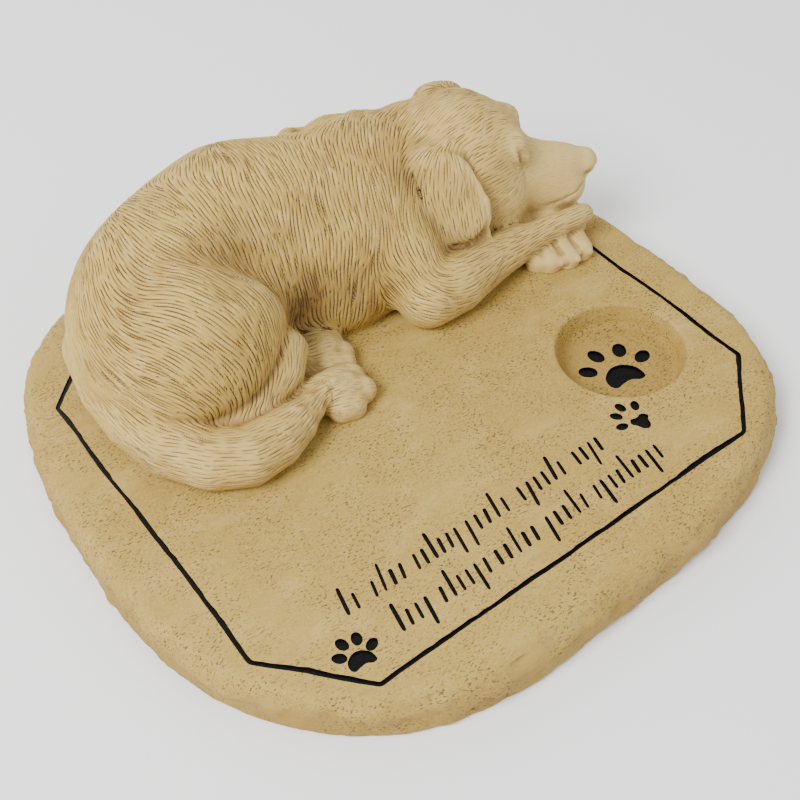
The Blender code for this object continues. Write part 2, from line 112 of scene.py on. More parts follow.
@dataclass
class Egg:
    """A form of the dog: a ball stretched to three radii, turned about X, then Y, then Z, in degrees."""

    centre: Triple
    radii: Triple
    turn: Triple = (0.0, 0.0, 0.0)
    blend: float = 2.0
    lay: Triple = DOWN
    swirl: float = 0.0
    hair: Hair = Hair.LONG

    def __post_init__(self) -> None:
        """Turns the figures into arrays."""
        self.place = np.array(self.centre, float)
        self.axes = np.array(Euler([math.radians(a) for a in self.turn], "XYZ").to_matrix())
        self.size = np.array(self.radii, float)
        self.fall = np.array(self.lay, float)

    def distance(self, points: np.ndarray) -> np.ndarray:
        """How far each point lies outside the form, near enough."""
        local = (points - self.place) @ self.axes
        scaled = np.linalg.norm(local / self.size, axis=1)
        slope = np.linalg.norm(local / self.size**2, axis=1)
        return scaled * (scaled - 1.0) / np.maximum(slope, 1e-9)

    def box(self) -> tuple[np.ndarray, np.ndarray]:
        """The lowest and highest corner of a box round the form."""
        reach = np.abs(self.axes) @ self.size
        return self.place - reach, self.place + reach

    def flow(self, points: np.ndarray) -> np.ndarray:
        """Which way the hair lies at each point: along its lay, and round the form where it swirls."""
        return self.fall + self.swirl * np.cross(points - self.place, TO_EYE) / self.size.mean()

    def add_to(self, bm: bmesh.types.BMesh) -> None:
        """Adds the form to a mesh as a ball."""
        turn = Matrix(self.axes.tolist()).to_4x4()
        place = Matrix.Translation(self.place) @ turn @ Matrix.Diagonal((*self.size, 1.0))
        bmesh.ops.create_icosphere(bm, subdivisions=4, radius=1.0, matrix=place)

    def carry(self, place: Triple, turn: np.ndarray) -> None:
        """Turns the form about the origin, then moves it."""
        self.place = np.array(place) + turn @ self.place
        self.axes = turn @ self.axes
        self.fall = turn @ self.fall


@dataclass
class Limb:
    """A form that tapers along a line of stations, each x, y, height and radius.

    A flat limb, such as an ear, is thinner along its normal by the factor flat.
    """

    stations: Sequence[tuple[float, float, float, float]]
    blend: float = 2.0
    normal: Triple = (0.0, 0.0, 1.0)
    flat: float = 1.0
    lay: Triple | None = None
    hair: Hair = Hair.SOFT

    def __post_init__(self) -> None:
        """Turns the figures into arrays."""
        self.line = np.array(self.stations, float)
        self.thin = np.array(self.normal, float) / np.linalg.norm(self.normal)
        self.fall = None if self.lay is None else np.array(self.lay, float)

    def _nearest(self, points: np.ndarray) -> tuple[np.ndarray, np.ndarray]:
        """The distance to the limb's skin and the direction of the nearest stretch, for each point."""
        best = np.full(len(points), np.inf)
        heading = np.zeros((len(points), 3))
        for first, last in zip(self.line, self.line[1:]):
            along = last[:3] - first[:3]
            share = np.clip((points - first[:3]) @ along / (along @ along), 0.0, 1.0)
            off = points - first[:3] - share[:, None] * along
            out = off @ self.thin
            stretched = off + np.outer(out * (self.flat - 1.0), self.thin)
            length = np.maximum(np.linalg.norm(stretched, axis=1), 1e-9)
            steep = np.sqrt(1.0 + (self.flat**2 - 1.0) * (out * self.flat / length) ** 2)
            here = (length - first[3] - share * (last[3] - first[3])) / steep
            closer = here < best
            best[closer] = here[closer]
            heading[closer] = along / np.linalg.norm(along)
        return best, heading

    def distance(self, points: np.ndarray) -> np.ndarray:
        """How far each point lies outside the limb."""
        return self._nearest(points)[0]

    def box(self) -> tuple[np.ndarray, np.ndarray]:
        """The lowest and highest corner of a box round the limb."""
        reach = self.line[:, 3:]
        return (self.line[:, :3] - reach).min(axis=0), (self.line[:, :3] + reach).max(axis=0)

    def flow(self, points: np.ndarray) -> np.ndarray:
        """Which way the hair lies at each point: along the limb, unless it has a lay of its own."""
        if self.fall is not None:
            return np.tile(self.fall, (len(points), 1))
        return self._nearest(points)[1]

    def add_to(self, bm: bmesh.types.BMesh) -> None:
        """Adds the limb to a mesh as a row of balls."""
        squash = Matrix.Scale(1.0 / self.flat, 4, Vector(self.thin))
        for first, last in zip(self.line, self.line[1:]):
            gap = float(np.linalg.norm(last[:3] - first[:3]))
            count = max(2, math.ceil(2.5 * gap / min(first[3], last[3])))
            for step in range(count + 1):
                x, y, z, radius = first + (last - first) * step / count
                place = Matrix.Translation((x, y, z)) @ squash
                bmesh.ops.create_icosphere(bm, subdivisions=3 if radius > 4 else 2, radius=radius, matrix=place)

    def carry(self, place: Triple, turn: np.ndarray) -> None:
        """Turns the limb about the origin, then moves it."""
        self.line[:, :3] = self.line[:, :3] @ turn.T + np.array(place)
        self.thin = turn @ self.thin
        if self.fall is not None:
            self.fall = turn @ self.fall


Form = Egg | Limb


def joined(a: np.ndarray, b: np.ndarray, blend: float) -> np.ndarray:
    """Two distances made one, with a soft fillet of the size blend where they meet."""
    near = np.maximum(blend - np.abs(a - b), 0.0) / blend
    return np.minimum(a, b) - near * near * blend * 0.25


# The head's forms are given forward, left and up from the foot of the skull's middle
HEAD_PLACE: Triple = (73.5, 42.5, 0.5)
HEAD_TURN = -31.0


def on_head(forms: list[Form]) -> list[Form]:
    """Puts the forms in their place on the dog.

    Args:
        forms: forms given in the head's own directions.

    Returns:
        The same forms, carried to the head's place.
    """
    turn = np.array(Euler((0, 0, math.radians(HEAD_TURN))).to_matrix())
    for form in forms:
        form.carry(HEAD_PLACE, turn)
    return forms


def torso() -> list[Form]:
    """Rump, belly, chest, neck and the pads under the head, with the tufts on the withers."""
    hip: Triple = (0.25, -0.75, -0.60)
    flank: Triple = (-0.20, -0.70, -0.68)
    return [
        Egg((-55, 44, 18), (30, 34, 34), blend=1, lay=(0.15, -0.75, -0.55), hair=Hair.COARSE),
        Egg((-40, 57.5, 18), (33.5, 34, 36.5), blend=12, lay=hip, hair=Hair.COARSE),
        Egg((-14, 63, 19), (37, 37, 38), blend=12, lay=flank, hair=Hair.COARSE),
        Egg((14, 56.5, 18), (32, 33.5, 32.5), blend=12, lay=(-0.40, -0.60, -0.68), hair=Hair.COARSE),
        Egg((32, 60, 18), (24, 27.5, 30.5), blend=10, lay=(-0.52, -0.52, -0.66), hair=Hair.COARSE),
        Limb([(38, 60, 22, 25.5), (56, 61, 25, 21)], blend=10, lay=(-0.75, -0.45, -0.50), hair=Hair.LONG),
        Egg((8, 42, 8), (27, 20, 16), blend=9, lay=(-0.30, -0.60, -0.72), hair=Hair.COARSE),
        Egg((45, 37, 12), (15, 14, 16.5), blend=5, lay=(-0.45, -0.40, -0.80), hair=Hair.LONG),
        Egg((64, 33, 4), (24, 16, 9), blend=4, hair=Hair.SHORT),
        Egg((44, 26, 10), (9, 8, 9), blend=4, lay=(-0.3, -0.5, -0.8), hair=Hair.LONG),
        Limb([(70, 27, 3, 7), (96, 20, 2, 6)], blend=3, hair=Hair.FAINT),
        Limb([(30, 40, 21, 14), (28, 28, 17, 13), (27, 15, 9.5, 10.5)], blend=7, hair=Hair.LONG),
        Limb([(15.5, 75.8, 45, 3.6), (22, 77.4, 42, 3.2)], blend=1, lay=(-1, -0.1, 0), hair=Hair.SOFT),
        Limb([(26.5, 77.2, 42.2, 3.2), (31, 76.6, 43.2, 3.3), (35.5, 74, 44, 2.5)], blend=1,
             lay=(-1, -0.1, 0), hair=Hair.SOFT),
        Limb([(40, 71.8, 44.6, 2.8), (45, 71.2, 42.6, 2.5)], blend=1, lay=(-1, -0.1, 0), hair=Hair.SOFT),
    ]


def hind_leg() -> list[Form]:
    """The haunch, knee, shin and both hind feet."""
    thigh: Triple = (0.62, -0.62, -0.48)
    return [
        Egg((-52, 30, 20), (27, 24, 31), turn=(0, 0, -15), blend=5, lay=thigh, swirl=0.8, hair=Hair.COARSE),
        Egg((-37, 27, 27), (14.5, 13, 16), blend=7, lay=(0.30, -0.55, -0.78), swirl=0.5, hair=Hair.LONG),
        Limb([(-27, 18, 16.5, 7.6), (-32.5, 12.5, 13, 7.4), (-44, 8, 9.5, 6.6), (-58, 7, 7.5, 6)], blend=1.2),
        Limb([(-42, 9, 3.5, 5.5), (-24, 3, 5, 6.6)], blend=1.5),
        Egg((-19, 1, 5), (8, 8, 6.5), turn=(0, 0, -15), blend=3, lay=(1, -0.3, 0), hair=Hair.SHORT),
        Limb([(-22, -4, 3.5, 5), (-18.5, -5, 3, 4.8)], blend=1.5, hair=Hair.SHORT),
        Limb([(-18, 0, 4.5, 5), (-12.5, -2, 3.5, 4.8)], blend=1.5, hair=Hair.SHORT),
        Limb([(-18, 5, 5, 5), (-12.5, 4.5, 4, 4.8)], blend=1.5, hair=Hair.SHORT),
        Limb([(-40, 22, 5, 7), (-24, 21, 6, 7)], blend=3),
        Egg((-15, 20, 5), (9, 7.5, 6.5), turn=(0, 0, -10), blend=3, lay=(1, -0.2, 0), hair=Hair.SHORT),
        Limb([(-12, 17, 4, 4.5), (-8, 16, 3, 4.4)], blend=1.5, hair=Hair.SHORT),
        Limb([(-12, 22, 4.5, 4.5), (-8, 22, 3, 4.4)], blend=1.5, hair=Hair.SHORT),
        Limb([(-15, 13, 4, 4.4), (-9.8, 11.6, 3, 4.0)], blend=1.5, hair=Hair.SHORT),
        Egg((-27, 13, 2), (9, 7, 7), blend=3, hair=Hair.SHORT),
    ]


def tail() -> list[Form]:
    """The tail, round the rump and the hind feet to its blunt tip."""
    return [
        Limb([(-72, 60, 12, 12), (-75, 44, 9, 12), (-76, 28, 8, 10.8), (-73.5, 12, 7.5, 9.9), (-66, -0.5, 7.5, 9.6),
              (-57, -6.2, 7.5, 9.4), (-47.5, -6, 7.5, 8.8), (-39, -4, 7.5, 7.2), (-32, -1.8, 8, 5),
              (-25.5, 0, 8.5, 2.7)], blend=2.1, hair=Hair.SOFT),
    ]


def forelegs() -> list[Form]:
    """The near foreleg under the chin and the paw that shows beyond it."""
    return [
        Limb([(27, 14, 9, 10.5), (38, 13.5, 9, 10.3), (52, 16, 8.5, 9), (64, 16.5, 8, 7.3), (74, 15, 9, 5.6),
              (82, 13.5, 10.5, 4.8), (89, 12.5, 11, 4.2), (95, 12.5, 10.5, 3.8)], blend=2, hair=Hair.SOFT),
        Limb([(90, 34, 5, 6), (84, 16, 4, 6), (82, 12, 3.5, 6)], blend=2, hair=Hair.FAINT),
        Limb([(73.5, 15, 3, 4.5), (71.8, 10.5, 2.2, 4.0)], blend=2, hair=Hair.BARE),
        Limb([(77, 14, 3.5, 5), (75.2, 7.4, 2.5, 4.4)], blend=1.6, hair=Hair.BARE),
        Limb([(82.5, 12, 3.5, 5), (81.4, 5.3, 2.5, 4.5)], blend=1.6, hair=Hair.BARE),
        Limb([(89, 12, 3.5, 5), (87.8, 5.6, 2.5, 4.5)], blend=1.6, hair=Hair.BARE),
        Egg((77.0, 4.0, 3.3), (1.5, 1.9, 1.7), blend=1, hair=Hair.BARE),
        Egg((82.5, 1.6, 3.5), (1.5, 1.9, 1.7), blend=1, hair=Hair.BARE),
        Egg((88.6, 1.9, 3.3), (1.4, 1.8, 1.6), blend=1, hair=Hair.BARE),
    ]


def head() -> list[Form]:
    """Skull, brow, cheeks, muzzle, lips and nose."""
    back: Triple = (-0.9, -0.1, 0.1)
    jowl: Triple = (-0.8, -0.1, -0.5)
    return on_head([
        Egg((-8, 1, 28), (22, 23, 23), blend=7, lay=(-0.8, -0.5, -0.1), hair=Hair.SOFT),
        Egg((4, 0, 33.5), (9, 13, 11), blend=5, lay=back, hair=Hair.SHORT),
        Egg((0, 12, 18), (14, 9, 14), blend=5, lay=jowl, hair=Hair.SHORT),
        Egg((0, -12, 18), (14, 9, 14), blend=5, lay=jowl, hair=Hair.SHORT),
        Limb([(10, 0, 22, 12), (28, 0, 19.6, 8.7)], blend=5, lay=back, hair=Hair.FAINT),
        Limb([(10, 0, 16, 13), (27, 0, 14.5, 8.5)], blend=4, lay=jowl, hair=Hair.FAINT),
        Egg((24, 5, 14.5), (11.5, 6, 7.5), blend=4, lay=jowl, hair=Hair.FAINT),
        Egg((24, -5, 14.5), (11.5, 6, 7.5), blend=4, lay=jowl, hair=Hair.FAINT),
        Egg((36.4, 0, 22.0), (4.0, 5.2, 3.9), blend=2, hair=Hair.BARE),
        Limb([(26, 0, 22.5, 6.5), (36, 0, 21.8, 4.4)], blend=3, lay=back, hair=Hair.FAINT),
        Limb([(9.0, -12.8, 38.3, 0.7), (9.6, -13.0, 35.4, 1.4), (11.0, -12.7, 31.2, 0.8)], blend=1, lay=back,
             hair=Hair.FAINT),
        Limb([(9.0, 12.8, 38.3, 0.7), (9.6, 13.0, 35.4, 1.4), (11.0, 12.7, 31.2, 0.8)], blend=1, lay=back,
             hair=Hair.FAINT),
        Egg((9, 8, 38), (5, 5, 4.5), blend=3, lay=back, hair=Hair.SHORT),
        Egg((9, -8, 38), (5, 5, 4.5), blend=3, lay=back, hair=Hair.SHORT),
        Egg((11, 9.5, 33), (4, 3.5, 3.5), blend=1.5, lay=back, hair=Hair.FAINT),
        Egg((11, -9.5, 33), (4, 3.5, 3.5), blend=1.5, lay=back, hair=Hair.FAINT),
    ])


def ears() -> list[Form]:
    """Both ears, each a flat limb that hangs from the skull."""
    return on_head([
        Egg((-20, -17, 38), (8, 7, 8), blend=4, lay=(-0.5, -0.4, -0.7), hair=Hair.LONG),
        Limb([(-14, -16, 43, 4.5), (-15.5, -23.5, 36.5, 9.5), (-13, -28, 27, 10.8), (-7.5, -29.8, 17.5, 6.2)],
             blend=1.5, normal=(0, -0.8, 0.6), flat=3.2, hair=Hair.SOFT),
        Limb([(-9, 13, 44, 7), (-13, 21, 42, 8.5), (-14, 26, 32, 8.5)], blend=3,
             normal=(0, 0.7, 0.7), flat=2.2, hair=Hair.LONG),
        Limb([(-10.5, -20, 42.0, 0.6), (-6.4, -23.6, 36.5, 1.2), (-2.6, -27.2, 29.2, 1.3), (-2.2, -29.2, 23.5, 1.2),
              (-3.0, -29.8, 20.0, 0.8)], blend=1, hair=Hair.BARE),
        Limb([(-26.2, -23.5, 34.5, 0.7), (-23.6, -28.2, 26, 1.1), (-17, -30.6, 19.0, 1.2), (-11, -30.8, 14.5, 1.0)],
             blend=1, hair=Hair.BARE),
    ])


def cut_lines() -> list[Limb]:
    """The carver's cuts: the fold of the flank, and those between the toes and at the eyes, nose and lips."""
    flank = [
        Limb([(-46, 36, 56, 2), (-36, 33.5, 51, 4), (-28, 31, 45, 5), (-22, 27.5, 39, 5), (-18.5, 23, 33, 5),
              (-17, 20, 27, 5), (-17, 20, 18, 5)], blend=4),
    ]
    face = on_head([
        Limb([(36, -4.6, 19.6, 0.7), (38.8, -3.2, 20.2, 0.9), (40, 0, 19.8, 0.9), (38.8, 3.2, 20.2, 0.9),
              (36, 4.6, 19.6, 0.7)], blend=1.0),
        Limb([(35.2, -6.2, 20.1, 0.4), (37.2, -5.2, 20.4, 0.9), (39.4, -3.0, 21.4, 0.7)], blend=0.8),
        Limb([(35.2, 6.2, 20.1, 0.4), (37.2, 5.2, 20.4, 0.9), (39.4, 3.0, 21.4, 0.7)], blend=0.8),
        Limb([(35.2, -6.2, 17.4, 0.2), (30, -9.4, 15.2, 0.3), (25, -11.2, 13.4, 0.4), (20, -12.4, 12.0, 0.4),
              (15, -13.8, 11, 0.2)], blend=0.9),
        Limb([(35.2, 6.2, 17.4, 0.2), (30, 9.4, 15.2, 0.3), (25, 11.2, 13.4, 0.4), (20, 12.4, 12.0, 0.4),
              (15, 13.8, 11, 0.2)], blend=0.9),
        Limb([(10.45, -12.9, 39.2, 0.4), (11.4, -12.9, 35.6, 1.1), (12.6, -12.5, 30.8, 0.9), (13.8, -12.4, 25.9, 0.3)],
             blend=1.0),
        Limb([(10.45, 12.9, 39.2, 0.4), (11.4, 12.9, 35.6, 1.1), (12.6, 12.5, 30.8, 0.9), (13.8, 12.4, 25.9, 0.3)],
             blend=1.0),
    ])
    toes = [
        Limb([(73.6, 13, 7.5, 0.4), (72.6, 8, 5.5, 0.8), (72.4, 6, 2.5, 0.8)], blend=1.0),
        Limb([(78.6, 11, 8.6, 0.5), (78.4, 5.8, 6.6, 1.0), (78.6, 2.4, 2.5, 1.0)], blend=1.0),
        Limb([(84.9, 10.5, 8.6, 0.5), (84.8, 5.2, 6.6, 1.0), (84.8, 1.6, 2.5, 1.0)], blend=1.0),
        Limb([(-20.7, 3.2, 10.6, 0.5), (-15.5, 2.6, 9.6, 0.9), (-12.0, 1.6, 7.4, 0.9), (-9.4, 0.2, 3, 0.8)], blend=1.0),
        Limb([(-20, -2.2, 9.4, 0.5), (-15.5, -2.9, 7.6, 0.9), (-12.4, -5.2, 3.8, 0.8)], blend=1.0),
        Limb([(-15, 19.2, 11, 0.5), (-9, 18.9, 8, 0.9), (-5.2, 18.9, 3, 0.9)], blend=1.0),
        Limb([(-15.2, 15.2, 10, 0.4), (-10, 14.4, 7.4, 0.8), (-6.8, 13.9, 3, 0.8)], blend=1.0),
    ]
    tip = [Limb([(-25, 4.2, 12.0, 0.6), (-22.8, 1.0, 10.6, 1.0), (-23.4, -3.6, 7.4, 1.2), (-26.0, -8.4, 2.6, 1.0)],
                blend=1.2)]
    return flank + face + toes + tip


class Field:
    """The dog as one soft union of its forms, less the carver's cuts."""

    def __init__(self, forms: list[Form], cuts: list[Limb], least_blend: float) -> None:
        """Keeps the forms, each with the box that it can matter in."""
        self.forms = [(form, *form.box(), max(form.blend, least_blend)) for form in forms]
        self.cuts = [(cut, *cut.box(), cut.blend) for cut in cuts]

    def distance(self, points: np.ndarray) -> np.ndarray:
        """How far each point lies outside the dog, true for points within 3 mm of its skin."""
        whole = np.full(len(points), 100.0)
        for form, low, high, blend in self.forms:
            near = distance_scale(points, low, high, blend + 3.0)
            whole[near] = joined(whole[near], form.distance(points[near]), blend)
        for cut, low, high, blend in self.cuts:
            near = distance_scale(points, low, high, blend + 3.0)
            whole[near] = -joined(-whole[near], cut.distance(points[near]), blend)
        return whole

    def slope(self, points: np.ndarray, here: np.ndarray) -> np.ndarray:
        """How the distance grows along X, Y and Z at each point."""
        return np.stack([self.distance(points + axis) - here for axis in np.eye(3) * 0.05], axis=1) / 0.05

    def coat(self, points: np.ndarray) -> tuple[np.ndarray, np.ndarray]:
        """The lay of the hair at each point, and its gap, length and depth, shared out among the near forms."""
        least = np.full(len(points), 100.0)
        for form, low, high, blend in self.forms:
            near = distance_scale(points, low, high, 6.0)
            least[near] = np.minimum(least[near], form.distance(points[near]))
        lay = np.zeros((len(points), 3))
        style = np.zeros((len(points), 3))
        total = np.full(len(points), 1e-9)
        for form, low, high, blend in self.forms:
            near = distance_scale(points, low, high, 6.0)
            far = form.distance(points[near]) - least[near]
            weight = np.exp(-far / (0.5 + 0.18 * blend))
            lay[near] += weight[:, None] * form.flow(points[near])
            style[near] += weight[:, None] * np.array(form.hair.value)
            total[near] += weight
        return lay, style / total[:, None]


def points_of(mesh: bpy.types.Mesh) -> np.ndarray:
    """A mesh's points, one to a row."""
    flat = np.empty(len(mesh.vertices) * 3, np.float32)
    mesh.vertices.foreach_get("co", flat)
    return flat.reshape(-1, 3).astype(float)


def normals_of(mesh: bpy.types.Mesh) -> np.ndarray:
    """A mesh's point normals, one to a row."""
    flat = np.empty(len(mesh.vertices) * 3, np.float32)
    mesh.vertices.foreach_get("normal", flat)
    return flat.reshape(-1, 3).astype(float)


def move_points(mesh: bpy.types.Mesh, points: np.ndarray) -> None:
    """Writes a mesh's points back."""
    mesh.vertices.foreach_set("co", points.astype(np.float32).ravel())
    mesh.update()


def edges_of(mesh: bpy.types.Mesh) -> np.ndarray:
    """A mesh's edges as pairs of point numbers."""
    flat = np.empty(len(mesh.edges) * 2, np.int32)
    mesh.edges.foreach_get("vertices", flat)
    return flat.reshape(-1, 2)


class Evener:
    """Averages values between the neighbours of a mesh."""

    def __init__(self, edges: np.ndarray, count: int) -> None:
        """Keeps the edges both ways round.

        Args:
            edges: pairs of point numbers.
            count: how many points the mesh has.
        """
        self.a = np.concatenate([edges[:, 0], edges[:, 1]])
        self.b = np.concatenate([edges[:, 1], edges[:, 0]])
        self.count = count
        self.links = np.maximum(np.bincount(self.a, minlength=count), 1)

    def even(self, values: np.ndarray, rounds: int) -> np.ndarray:
        """The values after that many rounds of averaging with their neighbours."""
        for _ in range(rounds):
            sums = np.stack([np.bincount(self.a, weights=column[self.b], minlength=self.count)
                             for column in values.T], axis=1)
            values = 0.5 * values + 0.5 * sums / self.links[:, None]
        return values


def new_object(name: str, mesh: bpy.types.Mesh) -> bpy.types.Object:
    """An object of that mesh in the scene."""
    obj = bpy.data.objects.new(name, mesh)
    bpy.context.scene.collection.objects.link(obj)
    return obj


def settle_modifiers(obj: bpy.types.Object) -> None:
    """Replaces an object's mesh by its modified one."""
    graph = bpy.context.evaluated_depsgraph_get()
    old = obj.data
    obj.data = bpy.data.meshes.new_from_object(obj.evaluated_get(graph))
    obj.modifiers.clear()
    bpy.data.meshes.remove(old)


def keep_largest(bm: bmesh.types.BMesh) -> None:
    """Deletes all but the largest of a mesh's separate skins, such as the skin of a space inside."""
    skins: list[set[bmesh.types.BMVert]] = []
    left = set(bm.verts)
    while left:
        todo = [left.pop()]
        skin = set(todo)
        while todo:
            near = {v for edge in todo.pop().link_edges for v in edge.verts} & left
            left -= near
            skin |= near
            todo.extend(near)
        skins.append(skin)
    largest = max(skins, key=len)
    spare = [v for skin in skins if skin is not largest for v in skin]
    bmesh.ops.delete(bm, geom=spare, context="VERTS")


@dataclass
class Cut:
    """One cut of the carved coat, as points along it, with how deep it is at its middle."""

    path: list[Vector]
    depth: float

    def strengths(self, count: int) -> list[float]:
        """How deep the cut is at that many even steps, as shares of its depth: a quick start and a long end."""
        return [min(1.0, 4.0 * t) * min(1.0, 2.5 * (1.0 - t)) for t in np.linspace(0.04, 0.96, count)]


@dataclass
class Comb:
    """Lays the cuts of the coat side by side over the skin, like the strokes of a comb."""

    seed: int = 11
    step: float = 0.7
    longest: int = 22
    apart: float = 0.86
    least_apart: float = 0.55
    cell: float = 1.5
    cuts: list[Cut] = field(default_factory=list)

    def _crowded(self, place: Vector, reach: float) -> bool:
        """Whether an earlier line passes within reach of a place."""
        i, j, k = (math.floor(c / self.cell) for c in place)
        for di in (-1, 0, 1):
            for dj in (-1, 0, 1):
                for dk in (-1, 0, 1):
                    for other in self.grid.get((i + di, j + dj, k + dk), ()):
                        if (other - place).length_squared < reach * reach:
                            return True
        return False

    def _traced(self, place: Vector, here: int, way: float) -> list[tuple[Vector, int]]:
        """Points along the lay from a place, one way or the other, up to where another line is near."""
        line = []
        while len(line) < self.longest:
            near, here, _ = self.tree.find(place + self.lay[here] * (way * self.step))
            ahead = place + self.lay[here] * (way * self.step)
            ahead -= self.out[here] * (ahead - near).dot(self.out[here])
            if ahead.z < -0.4 or self.style[here][2] < 0.02:
                break
            if self._crowded(ahead, self.least_apart * self.style[here][0]):
                break
            line.append((ahead, here))
            place = ahead
        return line

    def _broken(self, line: list[tuple[Vector, int]], chance: random.Random) -> None:
        """Breaks a long line into cuts, each with a length and a depth of its own."""
        start = 0
        while start < len(line) - 2:
            gap, length, depth = self.style[line[start][1]]
            count = max(3, round(length * chance.uniform(0.6, 1.2) / self.step))
            path = [point for point, _ in line[start:start + count]]
            if len(path) > 2:
                self.cuts.append(Cut(path, depth * chance.uniform(0.6, 1.2)))
            start += count + chance.randint(0, 1)

    def lay_cuts(self, points: np.ndarray, normals: np.ndarray, lay: np.ndarray, style: np.ndarray) -> None:
        """Draws even lines along the lay of the hair, each new one beside the last, and breaks them into cuts.

        Args:
            points: the skin's points.
            normals: the skin's normals.
            lay: the lay of the hair at each point, along the skin.
            style: gap, length and depth of the cuts at each point.
        """
        chance = random.Random(self.seed)
        self.tree = kdtree.KDTree(len(points))
        for number, point in enumerate(points):
            self.tree.insert(point, number)
        self.tree.balance()
        self.out = [Vector(n) for n in normals]
        self.lay = [Vector(n) for n in lay]
        self.style = style.tolist()
        self.grid: dict[tuple[int, int, int], list[Vector]] = {}
        order = [int(n) for n in np.nonzero((style[:, 2] > 0.03) & (points[:, 2] > -0.4))[0]]
        chance.shuffle(order)
        for seed in order:
            waiting = [(Vector(points[seed]), seed)]
            for place, here in waiting:
                gap = self.style[here][0]
                if self.style[here][2] < 0.03 or place.z < -0.4 or self._crowded(place, self.apart * gap):
                    continue
                line = self._traced(place, here, -1.0)[::-1] + [(place, here)] + self._traced(place, here, 1.0)
                for point, _ in line:
                    self.grid.setdefault(tuple(math.floor(c / self.cell) for c in point), []).append(point)
                self._broken(line, chance)
                for point, at in line[::2]:
                    side = self.out[at].cross(self.lay[at]) * self.style[at][0]
                    for beside in (point + side, point - side):
                        near, number, far = self.tree.find(beside)
                        if far < 1.2:
                            waiting.append((near.copy(), number))

    def marks(self, spacing: float = 0.3) -> tuple[np.ndarray, np.ndarray, np.ndarray]:
        """Even marks along every cut, its direction there, and how deep the coat is cut."""
        places: list[Vector] = []
        headings: list[Vector] = []
        depths: list[float] = []
        for cut in self.cuts:
            count = max(4, round((len(cut.path) - 1) * self.step / spacing))
            for number, share in enumerate(cut.strengths(count)):
                along = number * (len(cut.path) - 1) / (count - 1)
                low = min(int(along), len(cut.path) - 2)
                places.append(cut.path[low].lerp(cut.path[low + 1], along - low))
                headings.append((cut.path[low + 1] - cut.path[low]).normalized())
                depths.append(cut.depth * share)
        return np.array(places), np.array(headings), np.array(depths)


@dataclass(frozen=True)
class Patch:
    """A place where the coat lies darker: partly the washed-in brown of the cast, partly painted shade."""

    place: Triple
    reach: float
    strength: float


# Darker patches: partly washed-in brown, partly painted shade in the fold of the flank, under the belly, under the ear
# and neck and between the hind feet
WASH_AND_SHADE_PATCHES = (
    Patch((-14, 24, 21), 11.0, 1.00),
    Patch((2, 25, 20), 9.0, 0.60),
    Patch((8, 22, 12), 8.0, 0.45),
    Patch((36, 40, 37), 7.0, 0.85),
    Patch((38, 30, 24), 7.5, 0.60),
    Patch((45, 24, 17), 8.0, 0.75),
    Patch((-30, 38, 48), 10.0, 0.45),
    Patch((-45, 12, 14), 9.0, 0.45),
    Patch((-27, 12, 6), 7.0, 0.40),
    # painted shade in the slit of the closed eye
    Patch((77, 25.3, 34), 2.6, 0.50),
)


